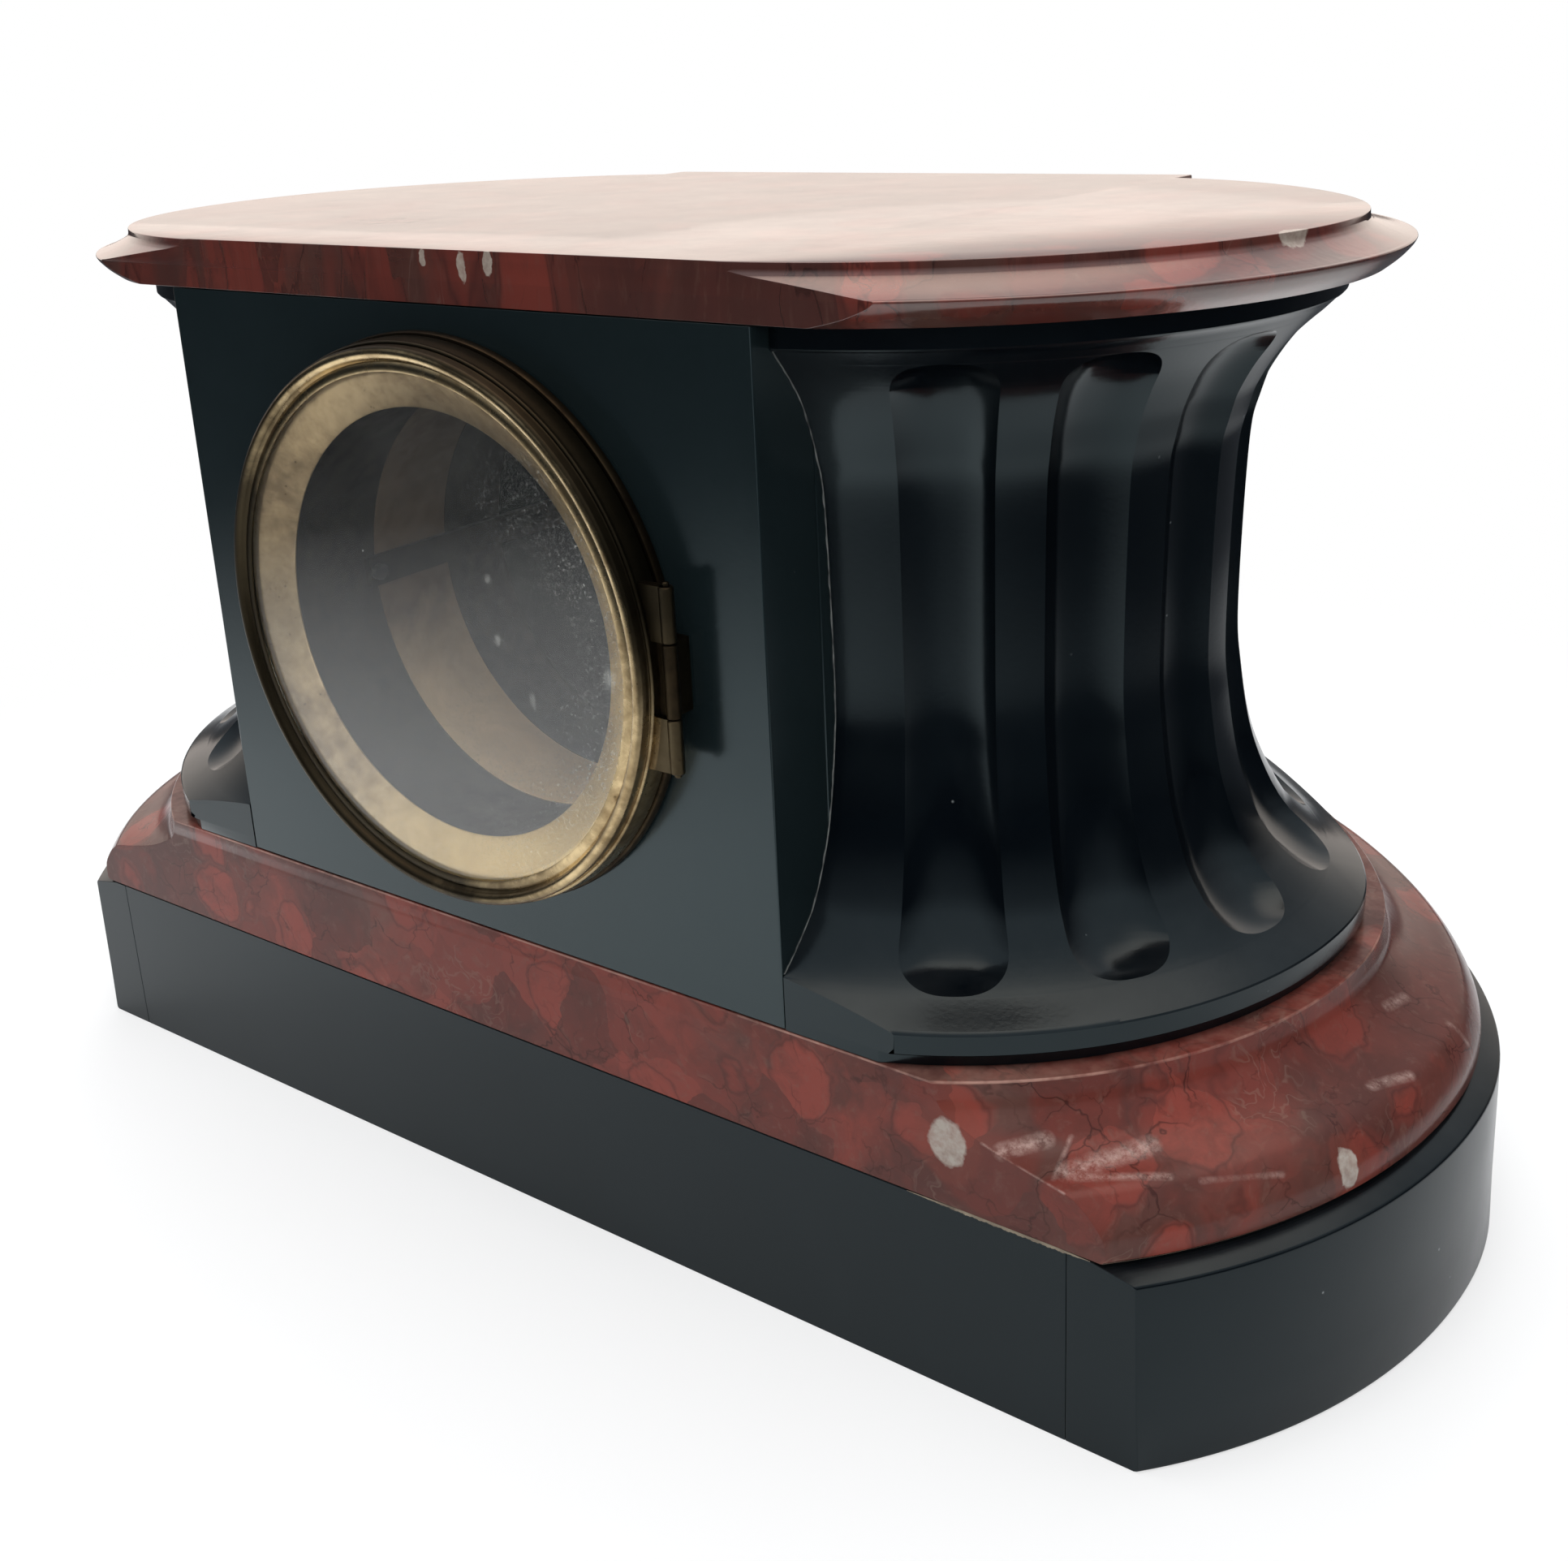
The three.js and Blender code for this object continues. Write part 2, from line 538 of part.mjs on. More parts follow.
// Striking train, as far as the wheel whose pins lift the hammer
function addStrikingTrain() {
  const spot = mirrored(barrelPlace);
  const second = mirrored(secondPlace);
  place("strike_barrel", barrel(spot, 0), brassColour);
  place("strike_winding_arbor", windingArbor(spot), steelColour);
  const secondPhase = meshPhase(spot, 48, 0, second, 8);
  const secondWheel = { teeth: 48, pitchRadius: 16.5, phase: 0, from: -77.4, to: -76.2 };
  const secondPinion = { teeth: 8, pitchRadius: 3.6, phase: secondPhase, from: -68, to: -61.5 };
  place("strike_second_wheel", arborWith(second, [secondWheel, secondPinion]), brassColour);
  const pinPhase = meshPhase(second, 48, 0, pinWheelPlace, 8);
  const pinPinion = { teeth: 8, pitchRadius: 2.75, phase: pinPhase, from: -78.5, to: -75 };
  let pinWheel = arborWith(pinWheelPlace, [pinPinion]).add(bar(10, -70, -68.5, pinWheelPlace, 20));
  const pins = 8;
  for (let i = 0; i < pins; i++) {
    const angle = (i / pins) * 2 * Math.PI;
    const at = [pinWheelPlace[0] + 8 * Math.cos(angle), pinWheelPlace[1] + 8 * Math.sin(angle)];
    pinWheel = pinWheel.add(bar(0.7, -69, -64.5, at, 6));
  }
  place("pin_wheel", pinWheel, brassColour);
}

// Hammer on its own arbor, and the bell that it strikes behind the back plate
function addBell() {
  const tail = plate(outline([[-0.8, 0], [0.8, 0], [8.5, 9.6], [7.3, 10.3]]), -68, -66.5, hammerPlace);
  const arm = plate(outline([[-0.9, 0.5], [0.9, 0.5], [5, -31], [3.4, -31]]), -39.5, -38, hammerPlace);
  const head = bar(3, -39.5, -29.5, [hammerPlace[0] + 4.2, hammerPlace[1] - 31], 16);
  place("hammer", bar(0.9, -83.5, -38, hammerPlace, 10).add(tail).add(arm).add(head), steelColour);
  const post = bar(2.5, backPlate[1] + gap, -17, [12, 0], 12);
  const bracket = block([-2.5, -20, dialZ - 2.5], [14.5, -17, dialZ + 2.5]);
  place("bell_stand", post.add(bracket).add(bar(1.5, -18, -8.5, [0, 0], 12)), steelColour);
  const outside = [[1.8, -14], [14, -14.4], [28, -17.5], [36, -23], [39.5, -29], [42, -32]];
  const inside = [[40.5, -32], [38, -28.5], [34.6, -22.4], [27.2, -16.4], [13.8, -13.1], [1.8, -12.7]];
  const dome = [...outside.map(([r, y]) => [r, y + 2]), ...inside.map(([r, y]) => [r, y - 1])];
  place("bell", turned([...dome, dome[0]], [0, 0], 24), brassColour);
}

// Anchor, crutch and pendulum
function addPendulum() {
  const [x, up] = palletPlace;
  const anchor = outline([
    [0, 2.4], [6.6, 0.4], [8.6, -3.2], [8.1, -4.6], [6.75, -4.4], [5.6, -1.6], [0, -0.9],
    [-5.6, -1.6], [-6.75, -4.4], [-8.1, -4.6], [-8.6, -3.2], [-6.6, 0.4],
  ]);
  const arbor = bar(0.9, -83.5, -41, palletPlace, 10);
  place("pallets", plate(anchor, -48.8, -47.2, palletPlace).add(arbor), steelColour);
  const forkUp = up - 32;
  const collar = tube(1.2, 2.2, -41.3, -39.6, palletPlace, 12);
  const stem = block([x - 0.8, -41.3, dialZ + forkUp], [x + 0.8, -40.3, dialZ + up - 1.5]);
  const foot = block([x - 2.4, -41.3, dialZ + forkUp - 1], [x + 2.4, -40.3, dialZ + forkUp + 2]);
  let crutch = collar.add(stem).add(foot);
  for (const side of [-1, 1]) {
    const xs = [side * 1.2, side * 2.4].sort((a, b) => a - b);
    const prong = block([xs[0], -41, dialZ + forkUp - 1], [xs[1], -34.8, dialZ + forkUp + 2]);
    crutch = crutch.add(prong);
  }
  place("crutch", crutch, steelColour);
  const cockFoot = block([-9, backPlate[1] + gap, dialZ + 50.4], [9, -39.5, dialZ + 55]);
  const cockArm = block([-3, -40, dialZ + 52], [3, -33, dialZ + 55]);
  place("suspension_cock", cockFoot.add(cockArm), brassColour);
  const chop = (low, high) => block([-2.2, pendulumY - 1, dialZ + low], [2.2, pendulumY + 1, dialZ + high]);
  const ribbon = block([-1.5, pendulumY - 0.2, dialZ + 43.5], [1.5, pendulumY + 0.2, dialZ + 51]);
  place("suspension_spring", ribbon.add(chop(49.8, 51.5)).add(chop(42.6, 44.6)), steelColour);
  const stick = (radius, low, high, steps) => {
    const geometry = new THREE.CylinderGeometry(radius, radius, high - low, steps);
    geometry.rotateX(Math.PI / 2);
    geometry.translate(x, pendulumY, dialZ + (low + high) / 2);
    return toSolid(geometry);
  };
  const bobUp = up - bobDrop;
  place("pendulum_rod", stick(0.8, bobUp - 20.5, 42.3, 10), steelColour);
  const lens = [[0, pendulumY - 4.5], [6, pendulumY - 4], [13, pendulumY - 1], [14, pendulumY]];
  const swell = [[13, pendulumY + 1], [6, pendulumY + 4], [0, pendulumY + 4.5]];
  const bob = turned([...lens, ...swell], [x, bobUp], 20);
  place("pendulum_bob", bob.subtract(stick(1.1, bobUp - 20, bobUp + 20, 10)), brassColour);
  const nut = stick(3.2, bobUp - 18.5, bobUp - 15, 12);
  place("rating_nut", nut.subtract(stick(1.1, bobUp - 25, bobUp, 10)), brassColour);
}

addBase();
addPlinth();
addPanels();
addColumns();
addTop();
addDoors();
addDial();
addMotionWork();
addFrame();
addGoingTrain();
addStrikingTrain();
addBell();
addPendulum();

export default clock;
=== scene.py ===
import json
import math

import bmesh
import bpy
from mathutils import Matrix, Vector

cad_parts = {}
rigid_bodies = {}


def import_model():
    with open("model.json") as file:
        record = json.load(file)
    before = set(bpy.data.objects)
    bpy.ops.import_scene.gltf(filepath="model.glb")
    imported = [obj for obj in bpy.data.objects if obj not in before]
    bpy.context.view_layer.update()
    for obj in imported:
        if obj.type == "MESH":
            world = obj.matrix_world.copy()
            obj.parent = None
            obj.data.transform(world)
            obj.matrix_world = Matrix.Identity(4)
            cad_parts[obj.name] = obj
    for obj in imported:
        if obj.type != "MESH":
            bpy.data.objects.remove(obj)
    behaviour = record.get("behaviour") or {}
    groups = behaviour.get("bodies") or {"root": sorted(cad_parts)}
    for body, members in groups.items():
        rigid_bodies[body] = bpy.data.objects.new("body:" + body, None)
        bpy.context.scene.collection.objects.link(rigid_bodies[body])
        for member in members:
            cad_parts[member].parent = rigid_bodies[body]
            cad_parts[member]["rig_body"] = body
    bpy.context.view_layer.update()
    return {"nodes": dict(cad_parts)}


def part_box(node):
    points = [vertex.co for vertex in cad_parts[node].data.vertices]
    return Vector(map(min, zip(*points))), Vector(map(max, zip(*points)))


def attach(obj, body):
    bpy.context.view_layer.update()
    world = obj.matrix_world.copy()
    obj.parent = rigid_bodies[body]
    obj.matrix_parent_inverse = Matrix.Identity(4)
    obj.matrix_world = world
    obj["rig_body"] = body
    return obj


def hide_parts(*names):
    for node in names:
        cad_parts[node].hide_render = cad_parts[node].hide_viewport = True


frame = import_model()

# Marble mantel clock. Sizes are in millimetres and become metres in the meshes.
# The dial faces -Y, the flat back +Y, and the photograph looks at the back from one end.
MM = 0.001
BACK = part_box("body_back_panel")[1].y / MM
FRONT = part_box("body_front_panel")[0].y / MM
BLOCK_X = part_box("body_back_panel")[1].x / MM
BASE_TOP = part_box("base_filling")[1].z / MM
PLINTH_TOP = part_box("plinth_moulding")[1].z / MM
BODY_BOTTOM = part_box("column_right")[0].z / MM
BODY_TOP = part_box("column_right")[1].z / MM
TOP_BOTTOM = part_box("top_slab")[0].z / MM
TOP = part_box("top_slab")[1].z / MM
DIAL_Z = (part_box("dial")[0].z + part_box("dial")[1].z) / 2 / MM
END_X = 78.3
END_Y = BACK - 100.25
END_SHOULDER = 0.05
TOP_SHOULDER = 0.04
JOINT = 0.3
HAIRLINE = 0.08
END_STEPS = 96
ROUND_STEPS = 128
SHARP_NODE = math.radians(38.0)
ORIGIN = (0.0, 0.0, 0.0)

# Base slabs
BASE_SEAM_X = 165.5
BASE_CORE = 100.0
BASE_BACK_THICK = 18.0
CORE_STEPS = 25
MORTAR_START = -171.0
MORTAR_END = -126.0
MORTAR_STEPS = 240

# Fluted round ends
COLUMN_BOW = 3.0
BOW_BOTTOM = 88.0
BOW_RISE = 12.0
BOW_FALL = 20.0
WAIST_SHOULDER = 0.01
FOOT_SHOULDER = 0.09
SHOULDER_FADE = 28.0
FOOT_TOP = 105.0
FOOT_FADE = 15.0
FASCIA_BOTTOM = 233.0
FLUTES = 6
FLUTE_SPACING = math.radians(23.3)
FLUTE_LEAD = math.radians(0.6)
FLUTE_HALF = math.radians(7.5)
FLUTE_DEPTH = 5.0
FLUTE_LOW = 92.5
FLUTE_HIGH = 229.5
FLUTE_END = 8.0
FLUTE_SINK = 4.5
FLUTE_CORNER = 2.6
FLUTE_STEPS = 16
LAND_STEPS = 8
COLUMN_STEPS = 110
CURVE_STEPS = 700
FOOT_LEVELS = 6
FASCIA_LEVELS = 3
GLUE_GAP = 0.04
GLUE_THICK = 0.22

# Top slab
PLATEAU = 100.6
LIP = 110.0
LIP_HIGH = 244.6

# Doors: heights are out from the face that the door stands on
HINGE_X = 73.4
HINGE_OUT = 7.0
KNUCKLE = 1.7
FIXED_KNUCKLE = 8.5
HINGE_HALF = 21.5
HINGE_DARK_FROM = 70.2
HINGE_DARK_BY = 71.2
TUBE_INNER = 55.4
TUBE_OUTER = 57.4
# The side towards which the bezel's brass is painted black as painted shade
PAINTED_SHADE_SIDE = (0.86, 0.0, -0.5)

# Dial: painted hours and minutes on the front face
DIAL_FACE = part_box("dial")[0].y / MM
NUMERALS = ("I", "II", "III", "IIII", "V", "VI", "VII", "VIII", "IX", "X", "XI", "XII")
LETTER_WIDTH = {"I": 2.6, "V": 6.4, "X": 6.2}
NUMERAL_HIGH = 10.0
NUMERAL_RADIUS = 41.5
STEM = 1.2
THICK_STROKE = 1.5
THIN_STROKE = 0.5
SERIF = 0.35
STROKE_INSET = 1.0
TRACK_INNER = 49.4
TRACK_OUTER = 51.4
TRACK_LINE = 0.22
INK_THICK = 0.06
WINDING_X = 23.2
WINDING_Z = -16.0

# Photograph: camera place, aim and lens
PHOTO_WIDTH = 1932
PHOTO_HEIGHT = 1923
FOCAL_PIXELS = 2198.06
OPTICAL_CENTRE = (976.5, 781.8)
CAMERA_PLACE = Vector((-311.97, BACK + 281.85, 291.53)) * MM
CAMERA_AIM = Vector((0.5686, -0.7603, -0.3142))
CAMERA_ROLL = math.radians(-2.579)

# Stage: what polished faces see round the clock, the soft light of the rest, and the paper under it
BACKDROP_SIDE = (0.6, -0.8, 0.0)
BACKDROP_LIGHT = (1.08, 0.96, 0.88)
CEILING_SIDE = (0.12, -0.2, 0.97)
CEILING_LIGHT = (2.5, 2.05, 1.85)
HIGH_WALLS = (0.6, 0.62, 0.66)
DARK_ROOM = (0.02, 0.025, 0.034)
SOFT_LIGHT = (0.34, 0.35, 0.37)
WHITE = (1.0, 1.0, 1.0)
PAPER_CENTRE = (0.12, 0.06, 0.0)
PAPER_WHITE = (0.9, 0.9, 0.9)
FAR_FLOOR = (0.05, 0.055, 0.062)
FLOOR_RADIUS = 8.0

# Smears and specks on the rear glass, in millimetres: place, radius, stretch
GLASS_FACE = BACK + 10.4
GLASS_SMEARS = [
    ((-58.0, GLASS_FACE, 160.7), 2.2, (1.0, 0.3, 0.7)),
    ((-22.9, GLASS_FACE, 178.6), 1.0, (1.0, 0.3, 0.6)),
    ((-24.1, GLASS_FACE, 164.5), 1.1, (1.0, 0.3, 0.6)),
    ((-33.5, GLASS_FACE, 150.9), 1.1, (1.2, 0.3, 0.4)),
]

# Fossil shells and chips that the photograph shows, in millimetres: place, radius, stretch
PLINTH_SPOTS = [
    ((-136.7, BACK, 65.1), 5.0, (1.0, 1.0, 0.8)),
    ((-207.8, 65.8, 56.0), 3.6, (1.0, 1.2, 0.6)),
]
TOP_SPOTS = [
    ((-176.7, 40.8, TOP), 3.4, (1.0, 0.6, 1.0)),
    ((-1.2, BACK, 249.0), 1.2, (1.0, 1.0, 0.5)),
    ((-13.6, BACK, 247.4), 1.5, (1.0, 1.0, 0.45)),
    ((-21.9, BACK, 248.6), 1.5, (1.0, 1.0, 0.45)),
]

# Pale scratches on the plinth, with the glints of light on them painted in as painted highlights, in
# millimetres: start, end, half width, strength
PLINTH_SCRATCHES_AND_GLINTS = [
    ((-145.2, BACK, 68.0), (-164.8, BACK, 63.1), 0.5, 0.45),
    ((-149.6, 115.1, 67.1), (-156.2, 107.9, 68.2), 2.4, 0.55),
    ((-163.0, 111.4, 64.7), (-174.3, 95.1, 66.0), 3.0, 0.6),
    ((-165.6, 111.2, 64.2), (-180.5, 99.4, 63.3), 1.3, 0.5),
    ((-160.1, 104.0, 68.2), (-161.4, 114.4, 64.2), 0.8, 0.35),
    ((-204.7, 45.4, 63.9), (-209.9, 34.6, 62.6), 1.8, 0.45),
    ((-198.3, 17.3, 68.3), (-200.1, 8.3, 67.1), 1.8, 0.35),
    ((-210.7, 8.4, 62.9), (-214.8, 6.4, 58.1), 1.3, 0.35),
    ((-186.0, 95.5, 61.8), (-198.0, 80.7, 59.2), 1.0, 0.35),
]


# Materials


class Paint:
    """The node tree of a material or world, with one call for each node."""

    def __init__(self, name, kind="materials", place="Object"):
        self.owner = getattr(bpy.data, kind).new(name)
        self.owner.use_nodes = True
        self.tree = self.owner.node_tree
        self.tree.nodes.clear()
        self.place = self.node("TexCoord").outputs[place]

    def node(self, kind, inputs=None, **settings):
        made = self.tree.nodes.new("ShaderNode" + kind)
        for key, value in settings.items():
            setattr(made, key, value)
        for key, value in (inputs or {}).items():
            if isinstance(value, bpy.types.NodeSocket):
                self.tree.links.new(value, made.inputs[key])
            else:
                made.inputs[key].default_value = value
        return made

    def noise(self, scale, detail=4.0, rough=0.55, place=None, warp=0.0, out="Fac"):
        inputs = {"Vector": place or self.place, "Scale": scale, "Detail": detail}
        inputs.update({"Roughness": rough, "Distortion": warp})
        return self.node("TexNoise", inputs).outputs[out]

    def cells(self, scale, feature, out, place=None):
        inputs = {"Vector": place or self.place, "Scale": scale}
        return self.node("TexVoronoi", inputs, feature=feature).outputs[out]

    def vector(self, operation, a, b):
        made = self.node("VectorMath", {0: a, 1: b}, operation=operation)
        return made.outputs["Value" if operation in ("DOT_PRODUCT", "DISTANCE") else "Vector"]

    def scaled(self, a, size):
        return self.node("VectorMath", {0: a, "Scale": size}, operation="SCALE").outputs["Vector"]

    def length(self, a):
        return self.node("VectorMath", {0: a}, operation="LENGTH").outputs["Value"]

    def height(self, a):
        return self.node("SeparateXYZ", {0: a}).outputs["Z"]

    def math(self, operation, a, b=0.0, clamp=False):
        return self.node("Math", {0: a, 1: b}, operation=operation, use_clamp=clamp).outputs[0]

    def times(self, a, b, clamp=False):
        return self.math("MULTIPLY", a, b, clamp)

    def span(self, value, low, high, to_low=0.0, to_high=1.0):
        inputs = {"Value": value, "From Min": low, "From Max": high, "To Min": to_low, "To Max": to_high}
        return self.node("MapRange", inputs).outputs[0]

    def eased(self, value, low, high):
        inputs = {"Value": value, "From Min": low, "From Max": high}
        return self.node("MapRange", inputs, interpolation_type="SMOOTHSTEP").outputs[0]

    def ramp(self, value, stops):
        made = self.node("ValToRGB", {"Fac": value})
        elements = made.color_ramp.elements
        while len(elements) < len(stops):
            elements.new(0.5)
        for element, (position, colour) in zip(elements, stops):
            element.position = position
            element.color = (*colour, 1.0)
        return made.outputs["Color"]

    def mix(self, share, a, b):
        inputs = {"Factor": share, 6: self.colour(a), 7: self.colour(b)}
        return self.node("Mix", inputs, data_type="RGBA").outputs[2]

    def colour(self, value):
        return value if isinstance(value, bpy.types.NodeSocket) else (*value, 1.0)

    def shifted(self, offset, scale=(1.0, 1.0, 1.0)):
        inputs = {"Vector": self.place, "Location": offset, "Scale": scale}
        return self.node("Mapping", inputs).outputs[0]

    def warped(self, place, scale, amount):
        wobble = self.noise(scale, 3.0, place=place, out="Color")
        centred = self.vector("SUBTRACT", wobble, (0.5, 0.5, 0.5))
        return self.vector("ADD", place, self.scaled(centred, amount))

    def near(self, point, radius, stretch=(1.0, 1.0, 1.0), edge=0.35):
        """1 close to a point in millimetres, falling to 0 at the radius."""
        centre = [value * MM for value in point]
        away = self.vector("SUBTRACT", self.place, centre)
        distance = self.length(self.vector("MULTIPLY", away, stretch))
        ragged = self.math("ADD", distance, self.span(self.noise(400.0), 0.3, 0.7, -0.0004, 0.0004))
        return self.span(ragged, radius * MM, radius * MM * (1 - edge))

    def scratch(self, start, end, width):
        """1 along the line between two points in millimetres, falling to 0 at the width."""
        along = [(b - a) * MM for a, b in zip(start, end)]
        squared = sum(value * value for value in along)
        away = self.vector("SUBTRACT", self.place, [a * MM for a in start])
        share = self.math("DIVIDE", self.vector("DOT_PRODUCT", away, along), squared, clamp=True)
        gap = self.vector("DISTANCE", away, self.scaled(along, share))
        return self.span(gap, width * MM, 0.0)

    def bump(self, height, strength, distance):
        return self.node("Bump", {"Height": height, "Strength": strength, "Distance": distance}).outputs[0]

    def finish(self, shader, output="OutputMaterial"):
        self.node(output, {"Surface": shader})
        return self.owner

    def surface(self, inputs):
        return self.finish(self.node("BsdfPrincipled", inputs).outputs[0])


def slate_material(name, polish, mirror=0.42, veil=0.0):
    """Black slate. Polish runs from 0, honed, to 1, a bright polish; veil is a thin green-grey bloom."""
    p = Paint(name)
    cloud = p.noise(22.0, 5.0, 0.6)
    dark = p.ramp(cloud, [
        (0.3, (0.0006 + 0.6 * veil, 0.0013 + veil, 0.0024 + veil)),
        (0.7, (0.0020 + 0.6 * veil, 0.0034 + veil, 0.0050 + veil)),
    ])
    streaks = p.noise(60.0, 4.0, 0.6, p.shifted(ORIGIN, (1.0, 1.0, 0.25)))
    grey = p.mix(p.span(streaks, 0.6, 0.9, 0.0, 0.1), dark, (0.035, 0.042, 0.044))
    specks = p.span(p.cells(150.0, "F1", "Distance"), 0.07, 0.035)
    rare = p.span(p.cells(150.0, "F1", "Color"), 0.74, 0.8)
    dust = p.times(specks, rare)
    coloured = p.mix(p.times(dust, 0.55), grey, (0.24, 0.26, 0.26))
    upward = p.height(p.node("NewGeometry").outputs["Normal"])
    patchy = p.span(p.noise(45.0, 5.0, 0.7), 0.3, 0.7)
    settled = p.times(p.span(upward, 0.25, 0.95, 0.0, 0.045), patchy)
    coloured = p.mix(settled, coloured, (0.17, 0.18, 0.18))
    smudge = p.noise(16.0, 6.0, 0.65)
    low = 0.17 - 0.11 * polish
    rough = p.span(smudge, 0.3, 0.75, low, low + 0.12)
    grain = p.bump(p.noise(900.0, 3.0), 0.025, 0.0004)
    return p.surface({
        "Base Color": coloured, "Roughness": rough, "Specular IOR Level": mirror,
        "Specular Tint": (0.74, 0.95, 1.0, 1.0), "Normal": grain,
    })


def marble_material(name, offset, stretch, shade, gloss, coat, spots, worn_edge=None, scratches_and_glints=()):
    """Red marble: red nodules in a brown ground, dark hairlines, white shell and calcite, and pale scratches
    whose glints are painted highlights.
    """
    p = Paint(name)

    def tone(*colour):
        return tuple(shade * value for value in colour)

    ground = p.warped(p.warped(p.shifted(offset, stretch), 11.0, 0.03), 70.0, 0.011)
    clouds = p.noise(16.0, 5.0, 0.6, ground)
    matrix = p.ramp(clouds, [
        (0.32, tone(0.12, 0.058, 0.046)), (0.5, tone(0.08, 0.03, 0.025)), (0.68, tone(0.13, 0.039, 0.03)),
    ])
    share = p.cells(46.0, "F1", "Distance", ground)
    kind = p.cells(46.0, "F1", "Color", ground)
    red = p.ramp(kind, [
        (0.25, tone(0.12, 0.03, 0.023)), (0.45, tone(0.18, 0.039, 0.029)), (0.8, tone(0.24, 0.05, 0.036)),
    ])
    body = p.times(p.span(share, 0.58, 0.44), p.span(kind, 0.2, 0.34, 0.0, 0.85))
    field = p.span(p.noise(13.0, 5.0, 0.65, ground), 0.5, 0.62, 0.0, 0.75)
    colour = p.mix(p.math("MAXIMUM", body, field), matrix, red)
    mottle = p.noise(90.0, 5.0, 0.7, ground)
    colour = p.mix(p.span(mottle, 0.48, 0.78, 0.0, 0.7), colour, tone(0.07, 0.028, 0.022))
    flecks = p.noise(330.0, 3.0, 0.6, ground)
    colour = p.mix(p.span(flecks, 0.56, 0.8, 0.0, 0.4), colour, tone(0.16, 0.09, 0.07))
    for scale, width, depth in ((34.0, 0.014, 0.6), (90.0, 0.026, 0.5)):
        crooked = p.warped(ground, scale * 3.0, 0.35 / scale)
        edge = p.cells(scale, "DISTANCE_TO_EDGE", "Distance", crooked)
        broken = p.span(p.noise(scale * 0.7, 3.0, 0.5, ground), 0.47, 0.62)
        vein = p.times(p.span(edge, width, width * 0.2), broken)
        colour = p.mix(p.times(vein, depth), colour, tone(0.02, 0.008, 0.007))
    outline = p.span(p.math("ABSOLUTE", p.math("SUBTRACT", share, 0.5)), 0.03, 0.0, 0.0, 0.45)
    colour = p.mix(p.times(outline, p.span(kind, 0.3, 0.5)), colour, tone(0.045, 0.018, 0.016))
    squiggle = p.math("ABSOLUTE", p.math("SUBTRACT", p.noise(120.0, 2.0, 0.5, ground, 1.2), 0.5))
    between = p.times(p.span(body, 0.3, 0.0), p.span(p.noise(30.0, 2.0, 0.5, ground), 0.54, 0.62))
    calcite = p.times(p.span(squiggle, 0.03, 0.01), between)
    colour = p.mix(p.times(calcite, 0.14), colour, tone(0.3, 0.24, 0.19))
    shells = p.span(p.cells(34.0, "F1", "Distance", ground), 0.12, 0.08)
    chosen = p.span(p.cells(34.0, "F1", "Color", ground), 0.86, 0.89)
    colour = p.mix(p.times(p.times(shells, chosen), 0.5), colour, (0.4, 0.32, 0.28))
    for point, radius, squeeze in spots:
        halo = p.near(point, radius * 1.75, squeeze, 0.15)
        colour = p.mix(p.times(halo, 0.4), colour, tone(0.17, 0.045, 0.032))
        speckle = p.span(p.noise(520.0, 4.0), 0.35, 0.62, 0.55, 0.9)
        spot = p.times(p.near(point, radius, squeeze, 0.14), speckle)
        colour = p.mix(spot, colour, (0.42, 0.38, 0.33))
    # Painted highlights: pale streaks painted into the colour for scratches and the glints of light on them
    for start, end, width, strength in scratches_and_glints:
        broken = p.span(p.noise(420.0, 5.0, 0.75), 0.38, 0.66, 0.1, 1.0)
        mark = p.times(p.scratch(start, end, width), broken)
        colour = p.mix(p.times(mark, strength, clamp=True), colour, (0.66, 0.48, 0.42))
    if worn_edge:
        away = p.math("ABSOLUTE", p.math("SUBTRACT", p.height(p.place), worn_edge * MM))
        chipped = p.span(p.noise(70.0, 4.0, 0.7), 0.4, 0.65, 0.05, 0.8)
        colour = p.mix(p.times(p.span(away, 0.00035, 0.0002), chipped), colour, (0.42, 0.24, 0.19))
    wear = p.noise(26.0, 6.0, 0.7)
    rough = p.span(wear, 0.3, 0.75, 0.1, 0.3)
    crackle = p.span(p.cells(420.0, "F1", "Distance", p.warped(p.place, 200.0, 0.004)), 0.2, 0.8)
    patchy = p.times(crackle, p.span(p.noise(40.0, 3.0), 0.45, 0.6))
    grain = p.bump(p.math("ADD", p.noise(500.0, 4.0), patchy), 0.06, 0.0004)
    return p.surface({
        "Base Color": colour, "Roughness": rough, "Normal": grain, "Specular IOR Level": gloss,
        "Coat Weight": coat, "Coat Roughness": 0.1, "Coat Tint": (1.0, 0.95, 0.91, 1.0),
    })


